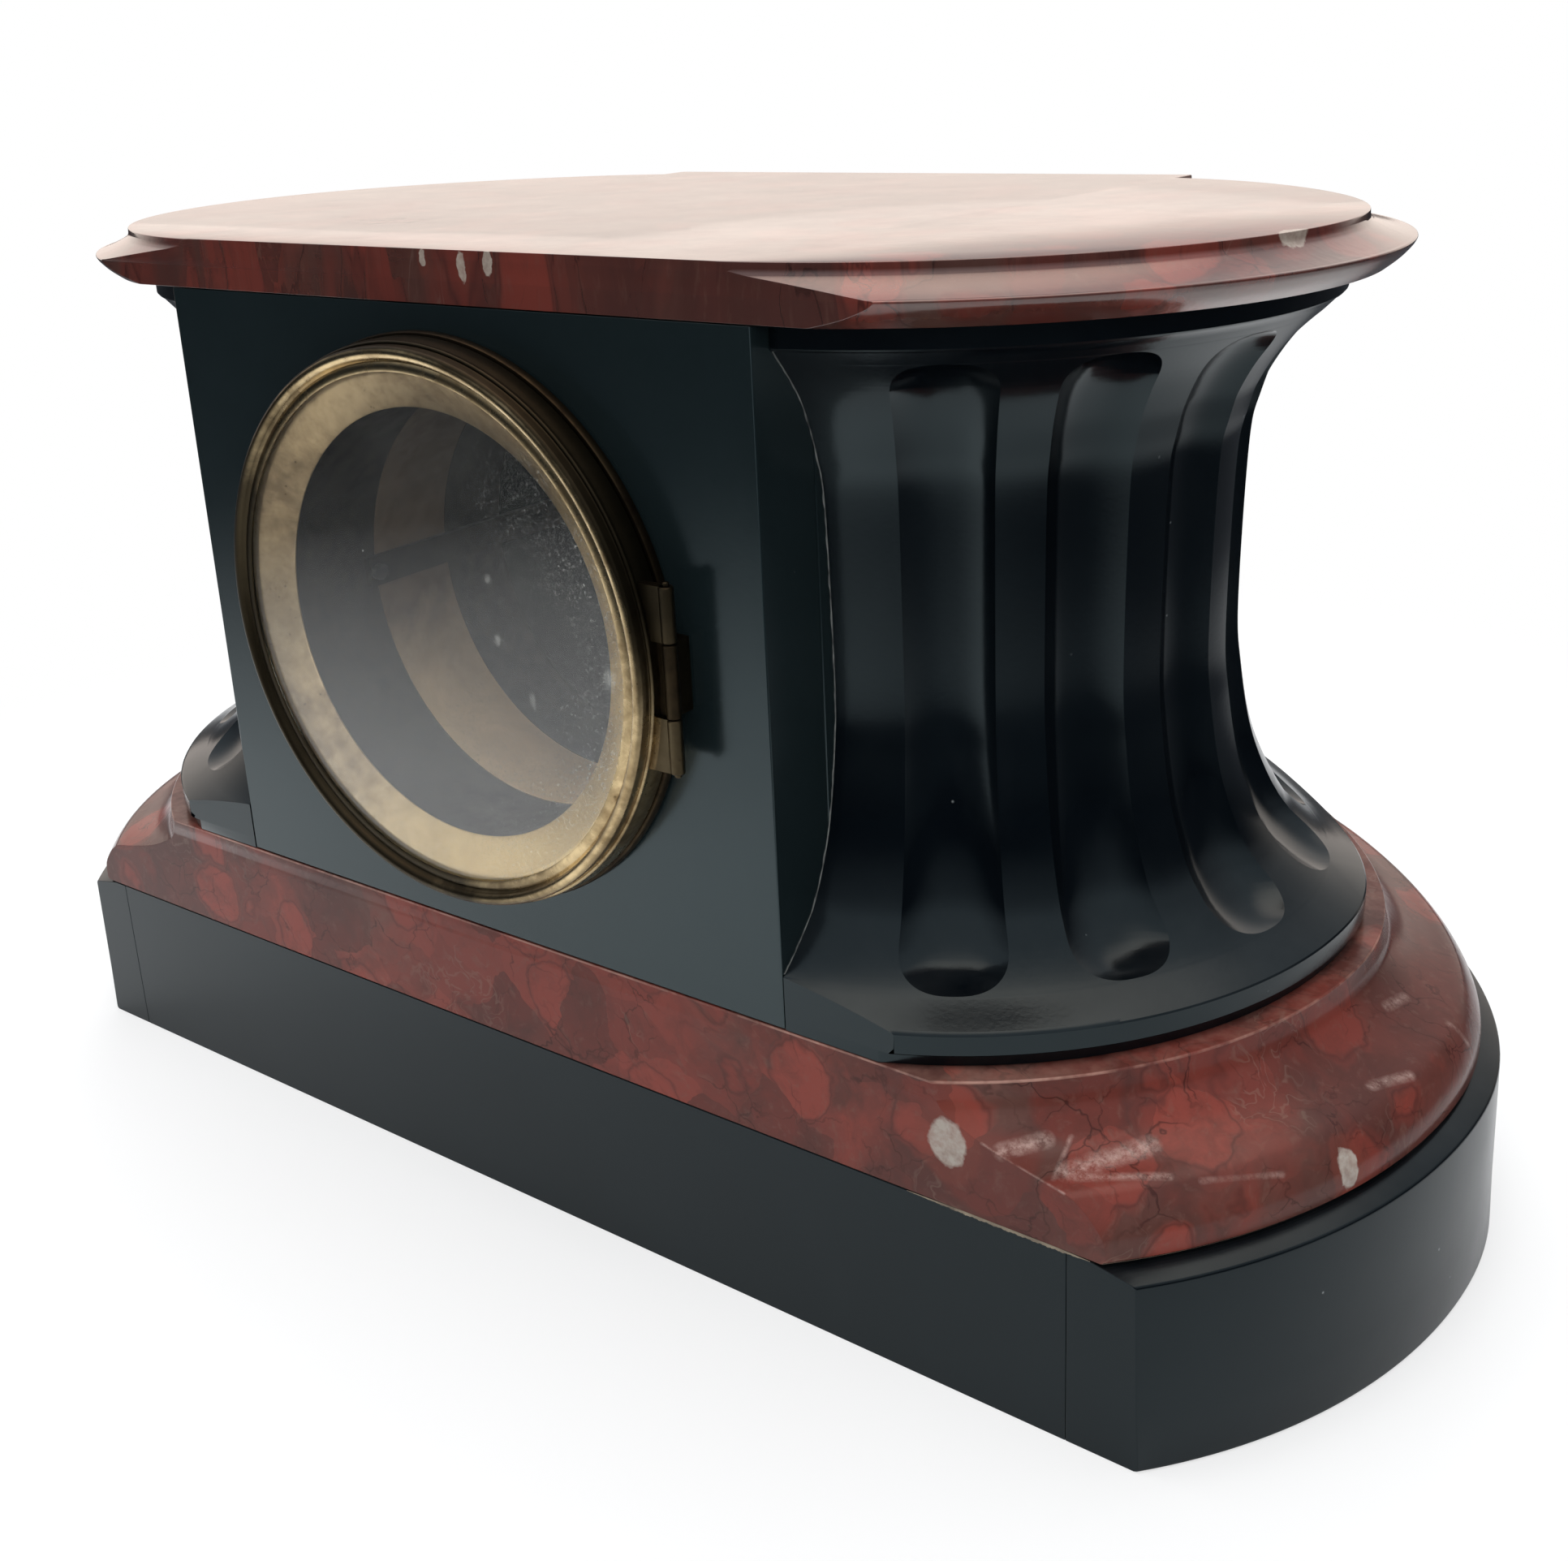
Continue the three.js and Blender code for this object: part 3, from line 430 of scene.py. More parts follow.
def brass_material(name, bright, tarnish, rough, offset=ORIGIN, black_beyond=None, metal=1.0, painted_light=None):
    """Aged brass: a bright ground under brown tarnish.

    With black_beyond it is black with age beyond that radius from the dial's axis and on the hinge; this
    black is painted shade where it grows towards the top and towards one side. Given a colour and a direction
    for painted light, it is painted lighter in that colour towards that side.
    """
    p = Paint(name)
    place = p.shifted(offset)
    stain = p.noise(38.0, 6.0, 0.68, place, 0.4)
    fine = p.noise(240.0, 4.0, 0.6, place)
    share = p.span(p.math("ADD", stain, p.span(fine, 0.3, 0.7, -0.12, 0.12)), 0.36, 0.7)
    colour = p.mix(share, bright, tarnish)
    holes = p.span(p.cells(520.0, "F1", "Distance", place), 0.16, 0.1)
    pits = p.times(holes, p.span(fine, 0.52, 0.6))
    colour = p.mix(p.times(pits, 0.6), colour, (0.06, 0.04, 0.02))
    duller = p.span(share, 0.0, 1.0, rough, rough + 0.2)
    around = p.vector("SUBTRACT", p.place, (0.0, 0.0, DIAL_Z * MM))
    # Painted light: lighter and warmer towards one side, where light falls on the sight ring and the tube
    if painted_light:
        painted_light_colour, side = painted_light
        lean = p.vector("DOT_PRODUCT", around, side)
        cloudy = p.math("ADD", lean, p.span(stain, 0.3, 0.7, -0.008, 0.008))
        colour = p.mix(p.span(cloudy, 0.0, 0.052), colour, painted_light_colour)
    if black_beyond:
        radius = p.length(p.vector("MULTIPLY", around, (1.0, 0.0, 1.0)))
        ragged = p.math("ADD", radius, p.span(stain, 0.3, 0.7, -0.0003, 0.0003))
        # Painted shade: the black of the outer rim is painted stronger towards the top
        painted_top_shade = p.span(p.height(around), -0.025, 0.015, 0.35, 1.0)
        outer = p.span(ragged, (black_beyond - 0.3) * MM, (black_beyond + 0.3) * MM, 0.0, 0.97)
        hinge = p.span(radius, HINGE_DARK_FROM * MM, HINGE_DARK_BY * MM, 0.0, 0.85)
        # Painted shade: black painted towards one side of the bezel, where it lies in shade
        lean = p.vector("DOT_PRODUCT", around, PAINTED_SHADE_SIDE)
        cloudy = p.math("ADD", lean, p.span(stain, 0.3, 0.7, -0.012, 0.012))
        painted_side_shade = p.span(cloudy, -0.02, 0.035, 0.0, 0.96)
        black = p.math("MAXIMUM", p.math("MAXIMUM", p.times(outer, painted_top_shade), hinge), painted_side_shade)
        colour = p.mix(black, colour, p.mix(fine, (0.008, 0.007, 0.005), (0.05, 0.04, 0.024)))
        duller = p.math("MAXIMUM", duller, p.span(black, 0.0, 1.0, 0.0, 0.45))
    grain = p.bump(fine, 0.08, 0.0003)
    return p.surface({"Base Color": colour, "Metallic": metal, "Roughness": duller, "Normal": grain})


def steel_material(name, colour, rough):
    p = Paint(name)
    brushed = p.noise(300.0, 3.0, 0.5, p.shifted(ORIGIN, (1.0, 0.08, 1.0)))
    dark = tuple(0.55 * value for value in colour)
    shade = p.mix(p.span(brushed, 0.3, 0.7), dark, colour)
    worn = p.span(p.noise(60.0, 4.0), 0.3, 0.7, rough, rough + 0.15)
    return p.surface({"Base Color": shade, "Metallic": 1.0, "Roughness": worn})


def glass_material(name):
    """Old window glass with dust that thickens to one side."""
    p = Paint(name)
    clear = p.node("BsdfPrincipled", {
        "Base Color": (0.96, 0.98, 0.97, 1.0), "Roughness": 0.015, "IOR": 1.5, "Transmission Weight": 1.0,
    })
    film = p.span(p.noise(14.0, 5.0, 0.6), 0.35, 0.75, 0.006, 0.026)
    grains = p.span(p.cells(210.0, "F1", "Distance"), 0.09, 0.03)
    chosen = p.span(p.cells(210.0, "F1", "Color"), 0.64, 0.74)
    spots = p.times(p.times(grains, chosen), 0.6)
    for point, radius, squeeze in GLASS_SMEARS:
        spots = p.math("ADD", spots, p.times(p.near(point, radius, squeeze, 0.9), 0.22))
    across = p.node("SeparateXYZ", {0: p.place}).outputs["X"]
    powdery = p.span(p.noise(1300.0, 2.0, 0.7), 0.58, 0.75, 0.0, 0.42)
    thick = p.times(p.span(across, 0.005, -0.055), p.span(p.noise(35.0, 4.0), 0.4, 0.6))
    spots = p.math("ADD", spots, p.times(powdery, thick))
    cover = p.math("ADD", film, spots, clamp=True)
    powder = p.node("BsdfDiffuse", {"Color": (0.62, 0.62, 0.58, 1.0)})
    dusty = p.node("MixShader", {0: cover, 1: clear.outputs[0], 2: powder.outputs[0]})
    shadow = p.node("LightPath").outputs["Is Shadow Ray"]
    through = p.node("BsdfTransparent", {"Color": (0.85, 0.87, 0.86, 1.0)})
    return p.finish(p.node("MixShader", {0: shadow, 1: dusty.outputs[0], 2: through.outputs[0]}).outputs[0])


def enamel_material(name):
    p = Paint(name)
    tone = p.noise(9.0, 4.0)
    colour = p.mix(p.span(tone, 0.3, 0.7), (0.82, 0.8, 0.74), (0.74, 0.71, 0.63))
    cracks = p.cells(60.0, "DISTANCE_TO_EDGE", "Distance", p.warped(p.place, 90.0, 0.006))
    craze = p.span(cracks, 0.006, 0.001)
    hair = p.times(craze, p.span(p.noise(20.0, 2.0), 0.6, 0.66))
    colour = p.mix(p.times(hair, 0.5), colour, (0.35, 0.3, 0.24))
    return p.surface({"Base Color": colour, "Roughness": p.span(tone, 0.3, 0.7, 0.1, 0.2)})


def plain_stone_material(name, pale, dark, rough):
    """Plaster, mortar or glue: a rough mineral ground."""
    p = Paint(name)
    lump = p.noise(160.0, 6.0, 0.7)
    colour = p.mix(p.span(lump, 0.3, 0.7), dark, pale)
    return p.surface({"Base Color": colour, "Roughness": rough, "Normal": p.bump(lump, 0.5, 0.001)})


def paint_material(name, colour):
    p = Paint(name)
    worn = p.span(p.noise(500.0, 3.0), 0.3, 0.7)
    shade = p.mix(worn, colour, tuple(2.2 * value + 0.004 for value in colour))
    return p.surface({"Base Color": shade, "Roughness": p.span(worn, 0.0, 1.0, 0.25, 0.45)})


POLISHED = slate_material("slate_polished", polish=0.6)
HONED = slate_material("slate_honed", polish=0.25, mirror=0.5, veil=0.011)
BASE_SLATE = slate_material("slate_base", polish=0.3, mirror=0.3)
PLINTH_MARBLE = marble_material(
    "red_marble_plinth", offset=(0.31, 0.17, 0.05), stretch=(1.0, 1.0, 1.0), shade=1.0, gloss=0.14, coat=0.06,
    spots=PLINTH_SPOTS, worn_edge=PLINTH_TOP - 0.3, scratches_and_glints=PLINTH_SCRATCHES_AND_GLINTS)
TOP_MARBLE = marble_material(
    "red_marble_top", offset=(0.83, 0.42, 0.37), stretch=(1.2, 1.2, 0.3), shade=0.75, gloss=0.55, coat=0.85,
    spots=TOP_SPOTS)
BEZEL_BRASS = brass_material(
    "brass_bezel", (0.62, 0.48, 0.27), (0.24, 0.165, 0.08), rough=0.2, black_beyond=67.9)
# The sight ring and the lining tube carry painted light: lighter and golden towards one side.
SIGHT_BRASS = brass_material(
    "brass_sight_ring", (0.5, 0.365, 0.21), (0.3, 0.21, 0.12), rough=0.36, offset=(0.3, 0.1, 0.2),
    painted_light=((0.88, 0.63, 0.29), (-0.8, 0.0, -0.6)))
LINING_BRASS = brass_material(
    "brass_lining", (0.05, 0.036, 0.02), (0.018, 0.013, 0.009), rough=0.4, offset=(0.1, 0.6, 0.2))
TUBE_BRASS = brass_material(
    "brass_tube", (0.17, 0.11, 0.07), (0.11, 0.07, 0.042), rough=0.35, offset=(0.4, 0.3, 0.9), metal=0.4,
    painted_light=((1.0, 0.68, 0.38), (-0.2, 0.0, -0.98)))
MOVEMENT_BRASS = brass_material(
    "brass_movement", (0.6, 0.44, 0.2), (0.4, 0.27, 0.11), rough=0.28, offset=(0.5, 0.2, 0.7))
STEEL = steel_material("steel", (0.34, 0.35, 0.37), rough=0.3)
BLUED = steel_material("blued_steel", (0.03, 0.04, 0.1), rough=0.25)
OLD_GLASS = glass_material("old_glass")
ENAMEL = enamel_material("enamel")
PLASTER = plain_stone_material("plaster", (0.55, 0.49, 0.4), (0.4, 0.34, 0.27), 0.9)
MORTAR = plain_stone_material("mortar", (0.3, 0.25, 0.18), (0.12, 0.095, 0.07), 0.9)
GLUE = plain_stone_material("glue", (0.22, 0.23, 0.22), (0.004, 0.005, 0.006), 0.7)
INK = paint_material("dial_ink", (0.006, 0.006, 0.008))


# Meshes


def finish_mesh(name, made, material, body, replaced=(), bevel=0.0, angle=32.0):
    """Adds a piece from a filled bmesh, bevels its sharp edges and rides it on a body."""
    mesh = bpy.data.meshes.new(name)
    bmesh.ops.recalc_face_normals(made, faces=made.faces)
    made.to_mesh(mesh)
    made.free()
    mesh.materials.append(material)
    mesh.polygons.foreach_set("use_smooth", [True] * len(mesh.polygons))
    mesh.set_sharp_from_angle(angle=math.radians(angle))
    piece = bpy.data.objects.new(name, mesh)
    bpy.context.scene.collection.objects.link(piece)
    if bevel:
        cut = piece.modifiers.new("edge", "BEVEL")
        cut.width = bevel * MM
        cut.segments = 2
        cut.limit_method = "ANGLE"
        cut.angle_limit = math.radians(angle)
    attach(piece, body)
    if replaced:
        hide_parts(*replaced)


def skin(made, rings):
    """Adds a skin through closed rings of millimetre points to a bmesh, with its two ends filled."""
    levels = [[made.verts.new(Vector(point) * MM) for point in ring] for ring in rings]
    count = len(levels[0])
    for lower, upper in zip(levels, levels[1:]):
        for i in range(count):
            after = (i + 1) % count
            made.faces.new((lower[i], lower[after], upper[after], upper[i]))
    made.faces.new(list(reversed(levels[0])))
    made.faces.new(levels[-1])


def loft(rings):
    """A bmesh with one skin."""
    made = bmesh.new()
    skin(made, rings)
    return made


def flat_backed(rings):
    """A bmesh through open rings that start and end on the flat back, which gets one face."""
    made = bmesh.new()
    levels = [[made.verts.new(Vector(point) * MM) for point in ring] for ring in rings]
    for lower, upper in zip(levels, levels[1:]):
        for i in range(len(lower) - 1):
            made.faces.new((lower[i], lower[i + 1], upper[i + 1], upper[i]))
    made.faces.new(levels[0])
    made.faces.new(levels[-1])
    made.faces.new([level[0] for level in levels] + [level[-1] for level in reversed(levels)])
    return made


def lathe(profile, centre=(0.0, 0.0), steps=ROUND_STEPS, hollow=True):
    """A turned bmesh about an axis along Y; the profile is (radius, y), closed on itself if hollow."""
    made = bmesh.new()
    rings = []
    for radius, y in profile:
        if radius < 1e-6:
            rings.append([made.verts.new(Vector((centre[0], y, DIAL_Z + centre[1])) * MM)] * steps)
            continue
        ring = []
        for i in range(steps):
            turn = 2 * math.pi * i / steps
            x = centre[0] + radius * math.cos(turn)
            ring.append(made.verts.new(Vector((x, y, DIAL_Z + centre[1] + radius * math.sin(turn))) * MM))
        rings.append(ring)
    pairs = list(zip(rings, rings[1:] + rings[:1])) if hollow else list(zip(rings, rings[1:]))
    for lower, upper in pairs:
        for i in range(steps):
            after = (i + 1) % steps
            corners = [lower[i], lower[after], upper[after], upper[i]]
            distinct = list(dict.fromkeys(corners))
            if len(distinct) > 2:
                made.faces.new(distinct)
    return made


def spline(points, steps):
    """Points along a smooth curve through the given ones."""
    found = []
    last = len(points) - 1
    for i in range(steps + 1):
        whole = min(int(i * last / steps), last - 1)
        t = i * last / steps - whole
        around = [points[min(max(whole + k, 0), last)] for k in (-1, 0, 1, 2)]
        value = []
        for a, b, c, d in zip(*around):
            slope_b = (c - a) / 2
            slope_c = (d - b) / 2
            cubic = (2 * b - 2 * c + slope_b + slope_c) * t**3
            value.append(cubic + (-3 * b + 3 * c - 2 * slope_b - slope_c) * t**2 + slope_b * t + b)
        found.append(tuple(value))
    return found


def arc(centre, radius, start, end, steps):
    """Points of an arc in a profile, angles in degrees."""
    turns = [math.radians(start + (end - start) * i / steps) for i in range(steps + 1)]
    return [(centre[0] + radius * math.cos(t), centre[1] + radius * math.sin(t)) for t in turns]


def flipped(points):
    return [(-x, y, z) for x, y, z in points]


def polished_copy(node, material, bevel):
    """A plain piece copied from its CAD node, with its sharp edges eased."""
    made = bmesh.new()
    made.from_mesh(frame["nodes"][node].data)
    bmesh.ops.remove_doubles(made, verts=made.verts, dist=1e-6)
    bmesh.ops.dissolve_limit(made, angle_limit=math.radians(1.0), verts=made.verts, edges=made.edges)
    body = frame["nodes"][node]["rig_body"]
    finish_mesh(node + "_eased", made, material, body, (node,), bevel)


def paint_node(node, material):
    """A CAD node shown as it is, with its own material and smooth round faces."""
    shown = frame["nodes"][node]
    shown.data.materials.clear()
    shown.data.materials.append(material)
    shown.data.polygons.foreach_set("use_smooth", [True] * len(shown.data.polygons))
    shown.data.set_sharp_from_angle(angle=SHARP_NODE)


# Case


def flattened(turn, amount):
    """A round end's radius as a share of the full one: a little flatter at its front corner."""
    return 1.0 - amount * math.sin(2 * turn) ** 2 if turn < 0 else 1.0


def end_point(radius, turn, amount, z):
    """A point of a round end, which is flattened at its front corner."""
    r = radius * flattened(turn, amount)
    return (END_X + r * math.cos(turn), END_Y + r * math.sin(turn), z)


def end_arc(radius, start, end, amount, z, steps=END_STEPS):
    """Points of a round end from one angle to another."""
    turns = [start + (end - start) * i / steps for i in range(steps + 1)]
    return [end_point(radius, turn, amount, z) for turn in turns]


def tier_ring(radius, z, inset=0.0):
    """One level of a tier: round ends, a straight front, and the flat back."""
    start = math.asin((BACK - inset - END_Y) / radius)
    half = end_arc(radius, start, -math.pi / 2, END_SHOULDER, z)
    return half + flipped(half)[::-1]


def base_end_ring(radius, z):
    """One level of a base end block, between the back slab's seam and the front slab's."""
    start = math.asin((BACK - END_Y) / radius)
    outer = end_arc(radius, start, -math.acos(JOINT / radius), END_SHOULDER, z)
    inner_back = BACK - BASE_BACK_THICK - JOINT
    stop = math.asin((inner_back - END_Y) / BASE_CORE)
    core = end_arc(BASE_CORE, -math.pi / 2, stop, END_SHOULDER, z, CORE_STEPS)
    core[0] = (END_X + JOINT, END_Y - BASE_CORE, z)
    return outer + core + [(BASE_SEAM_X, inner_back, z), (BASE_SEAM_X, BACK, z)]


def box_rings(low, high):
    """The two levels of a plain block between two corners."""
    xs = (low[0], high[0], high[0], low[0])
    ys = (low[1], low[1], high[1], high[1])
    return [[(x, y, z) for x, y in zip(xs, ys)] for z in (low[2], high[2])]


def add_base():
    edge = arc((142.9, BASE_TOP - 2.9), 0.9, 0, 70, 5)
    profile = [(143.9, 0.0), (144.6, 0.35), (144.75, 1.1), (144.3, 15.0)] + edge + [(136.0, BASE_TOP)]
    right = [base_end_ring(radius, z) for radius, z in profile]
    finish_mesh("base_end_right_slate", loft(right), BASE_SLATE, "case", ("base_end_right",), 0.15)
    left = [flipped(ring) for ring in right]
    finish_mesh("base_end_left_slate", loft(left), BASE_SLATE, "case", ("base_end_left",), 0.15)
    reach = END_X + JOINT - HAIRLINE
    rings = []
    for radius, z in profile:
        outer = END_Y - radius
        inner = END_Y - BASE_CORE
        rings.append([(-reach, outer, z), (reach, outer, z), (reach, inner, z), (-reach, inner, z)])
    finish_mesh("base_front_slate", loft(rings), BASE_SLATE, "case", ("base_front_slab",), 0.15)
    reach = BASE_SEAM_X - HAIRLINE
    rings = box_rings((-reach, BACK - BASE_BACK_THICK, 0.0), (reach, BACK, BASE_TOP))
    finish_mesh("base_back_slate", loft(rings), BASE_SLATE, "case", ("base_back_slab",), 0.15)
    paint_node("base_filling", PLASTER)
    bed = [tier_ring(137.9, BASE_TOP, 0.5), tier_ring(137.9, BASE_TOP + JOINT, 0.5)]
    finish_mesh("base_mortar_bed", flat_backed(bed), MORTAR, "case")


def add_plinth():
    low = BASE_TOP + JOINT
    swell = [(138.8, 52.6), (138.3, 55.3), (136.7, 58.6), (134.7, 61.4), (132.4, 63.1)]
    hollow = [(126.9, 65.0), (121.0, 67.7), (116.3, 71.6), (114.9, 74.0), (114.4, 76.6)]
    ogee = spline(swell + hollow, 60)
    profile = [(138.2, low), (138.8, low + 0.7)] + ogee + [(114.2, PLINTH_TOP - 0.3), (113.9, PLINTH_TOP)]
    rings = [tier_ring(radius, z) for radius, z in profile]
    finish_mesh("plinth_marble", flat_backed(rings), PLINTH_MARBLE, "case", ("plinth_moulding",), 0.35)


def flute_reach(z, end):
    """0 at a flute's end, rising round to 1 once the end is passed."""
    into = min(z - FLUTE_LOW, FLUTE_HIGH - z) / end
    if into <= 0:
        return 0.0
    return 1.0 if into >= 1 else (1 - (1 - into) ** FLUTE_CORNER) ** (1 / FLUTE_CORNER)


def column_profile():
    """(radius, height) of each level of a round end, close together where flutes end."""
    lower = [(108.3, BODY_BOTTOM), (108.3, 82.2), (109.6, 82.4), (110.0, 82.8), (110.0, 87.4), (109.7, 87.8)]
    flare = [(109.0, 88.2), (100.5, 93.5), (92.3, 101.0), (87.4, 107.5), (82.0, 121.0)]
    waist = [(78.8, 138.0), (77.5, 155.0), (78.7, 195.0), (81.0, 208.0), (86.0, 221.0), (94.6, 232.4)]
    upper = [(95.2, FASCIA_BOTTOM - 0.3), (95.6, FASCIA_BOTTOM + 0.2), (95.6, BODY_TOP)]
    curve = spline(flare + waist, CURVE_STEPS)
    tall = waist[-1][1] - flare[0][1]
    heights = [flare[0][1] + tall * i / COLUMN_STEPS for i in range(COLUMN_STEPS + 1)]
    near = (-0.4, 0.0, 0.02, 0.06, 0.12, 0.2, 0.32, 0.5, 0.75, 1.05, 1.4, 1.8, 2.4, 3.0, 4.0, 5.0, 6.0)
    heights += [FLUTE_LOW + step for step in near] + [FLUTE_HIGH - step for step in near]
    hollow = []
    for height in sorted(set(heights)):
        following = next((i for i, (_, z) in enumerate(curve) if z >= height), len(curve) - 1)
        (r0, z0), (r1, z1) = curve[max(following - 1, 0)], curve[max(following, 1)]
        hollow.append((r0 + (r1 - r0) * (height - z0) / (z1 - z0), height))
    return lower + hollow + upper


def flute_spread(z):
    """How wide the points of a flute stand: its own outline, opening out again beyond its ends."""
    beyond = max(FLUTE_LOW - z, z - FLUTE_HIGH) / FLUTE_END
    return max(flute_reach(z, FLUTE_END), min(1.0, beyond), 0.05)


def share_of(value, whole):
    return min(max(value / whole, 0.0), 1.0)


def column_shoulder(z):
    """How much a fluted end's front corner is flattened: most at its foot, not at all at its top."""
    under_top = share_of(FASCIA_BOTTOM - z, SHOULDER_FADE)
    in_foot = share_of(FOOT_TOP - z, FOOT_FADE)
    return WAIST_SHOULDER * under_top + (FOOT_SHOULDER - WAIST_SHOULDER) * in_foot


def column_bow(z):
    """How far the hollow of a fluted end stands nearer the back than its two bands."""
    above_foot = share_of(z - BOW_BOTTOM, BOW_RISE)
    under_top = share_of(FASCIA_BOTTOM - z, BOW_FALL)
    return COLUMN_BOW * above_foot * under_top


def column_ring(radius, z):
    """One level of a fluted end, round from one side of the middle block to the other."""
    side = BLOCK_X + JOINT - END_X
    limit = math.acos(side / radius)
    start = min(limit, math.asin(min(1.0, (BACK - END_Y) / radius)))
    half = FLUTE_HALF * flute_spread(z)
    depth = FLUTE_DEPTH * flute_reach(z, FLUTE_SINK)
    amount = column_shoulder(z)
    bow = column_bow(z)
    points = [(END_X + side, min(BACK, END_Y + radius * math.sin(limit)), z)]

    def push(turn, sunk=0.0):
        x, y, _ = end_point(radius - bow * (1 - math.sin(turn)) - sunk, turn, amount, z)
        points.append((max(x, END_X + side), y, z))

    land_from = start
    for i in reversed(range(FLUTES)):
        middle = (i - (FLUTES - 1) / 2) * FLUTE_SPACING + FLUTE_LEAD
        for k in range(LAND_STEPS):
            push(land_from + (middle + half - land_from) * k / LAND_STEPS)
        for k in range(FLUTE_STEPS + 1):
            across = math.cos(math.pi * k / FLUTE_STEPS)
            push(middle + across * half, depth * (1 - abs(across) ** FLUTE_CORNER))
        land_from = middle - half
    for k in range(1, LAND_STEPS + 1):
        push(land_from + (-limit - land_from) * k / LAND_STEPS)
    return points


def add_columns():
    rings = [column_ring(radius, z) for radius, z in column_profile()]
    for name, turned in (("column_right", rings), ("column_left", [flipped(ring) for ring in rings])):
        made = loft(turned)
        bmesh.ops.remove_doubles(made, verts=made.verts, dist=2e-6)
        finish_mesh(name + "_slate", made, POLISHED, "case", (name,), 0.0, 24.0)


def glue_strip(side, front):
    """A thin crooked line of glue where a round end meets the middle block."""
    rings = []
    for i, (radius, z) in enumerate(column_profile()[FOOT_LEVELS:-FASCIA_LEVELS]):
        bent = radius - 2 * column_bow(z) if front else radius
        reach = math.sqrt(bent**2 - (BLOCK_X + JOINT - END_X) ** 2)
        y = END_Y + (-reach if front else reach)
        if y > BACK - 0.4:
            continue
        wobble = 0.35 * math.sin(1.7 * i) + 0.25 * math.sin(4.1 * i + 1.0)
        width = 0.12 + 0.25 * max(0.0, math.sin(0.9 * i + side)) ** 2
        outward = -1.0 if front else 1.0
        near = y - outward * 0.8
        far = y + outward * (width + 0.18 * wobble)
        inner = side * (BLOCK_X + GLUE_GAP)
        outer = side * (BLOCK_X + GLUE_GAP + GLUE_THICK)
        rings.append([(inner, near, z), (inner, far, z), (outer, far - outward * 0.2, z), (outer, near, z)])
    return loft(rings)


def mortar_strip():
    """A ragged smear of mortar along the joint under the plinth, at the back."""
    rings = []
    near = BACK + 0.02
    far = BACK + 0.12
    for i in range(MORTAR_STEPS + 1):
        x = MORTAR_START + (MORTAR_END - MORTAR_START) * i / MORTAR_STEPS
        taper = min(1.0, 6.0 * i / MORTAR_STEPS, 3.0 * (1 - i / MORTAR_STEPS))
        ragged = 0.3 + 0.1 * math.sin(1.9 * x) + 0.08 * math.sin(5.3 * x + 1.0) + 0.06 * math.sin(11.7 * x)
        low = BASE_TOP - (0.05 + ragged) * taper
        high = BASE_TOP + JOINT * taper + 0.05
        rings.append([(x, near, low), (x, far, low), (x, far, high), (x, near, high)])
    return loft(rings)


def add_glue_lines():
    for side, name in ((1, "right"), (-1, "left")):
        for front, place in ((True, "front"), (False, "back")):
            finish_mesh(f"glue_line_{name}_{place}", glue_strip(side, front), GLUE, "case")
    finish_mesh("mortar_line_back", mortar_strip(), MORTAR, "case")


def top_ring(radius, z):
    """One level of the top: round ends, flat back, and a middle that steps forward."""
    lip = radius - PLATEAU
    step_x = BLOCK_X + lip
    amount = TOP_SHOULDER * min(1.0, (LIP - radius) / (LIP - PLATEAU)) if z > LIP_HIGH else 0.0
    start = math.asin((BACK - END_Y) / radius)
    half = end_arc(radius, start, -math.acos((step_x - END_X) / radius), amount, z)
    half.append((step_x, FRONT - lip, z))
    return half + flipped(half)[::-1]


def add_top():
    under = spline([(104.5, TOP_BOTTOM), (107.2, 240.9), (109.2, 243.0), (109.85, 244.0)], 14)
    tip = arc((109.6, 244.4), 0.4, -20, 75, 5)
    cove = spline([(109.2, 244.85), (106.8, 245.7), (104.0, 246.9), (101.8, 248.1), (101.1, 248.8)], 24)
    edge = [(100.8, 249.2), (100.7, 249.8), (100.65, TOP - 0.35), (100.6, TOP - 0.1), (100.4, TOP)]
    rings = [top_ring(radius, z) for radius, z in under + tip + cove + edge]
    finish_mesh("top_marble", flat_backed(rings), TOP_MARBLE, "case", ("top_slab",), 0.25, 28.0)


def add_panels():
    for node in ("body_back_panel", "body_front_panel", "body_left_cheek", "body_right_cheek"):
        polished_copy(node, HONED, 0.3)


# Doors


def upright(made, x, y, radius, low, high, steps=24):
    """Adds an upright round bar with eased ends to a bmesh; heights are from the dial's centre."""
    ease = min(0.25, radius * 0.3)
    levels = [(radius - ease, low), (radius, low + ease), (radius, high - ease), (radius - ease, high)]
    turns = [2 * math.pi * i / steps for i in range(steps)]
    rings = []
    for r, z in levels:
        rings.append([(x + r * math.cos(t), y + r * math.sin(t), DIAL_Z + z) for t in turns])
    skin(made, rings)


def leaf(made, xs, ys, zs):
    """Adds a small plate to a bmesh, given its extents; heights are from the dial's centre."""
    low = (min(xs), min(ys), DIAL_Z + min(zs))
    high = (max(xs), max(ys), DIAL_Z + max(zs))
    skin(made, box_rings(low, high))


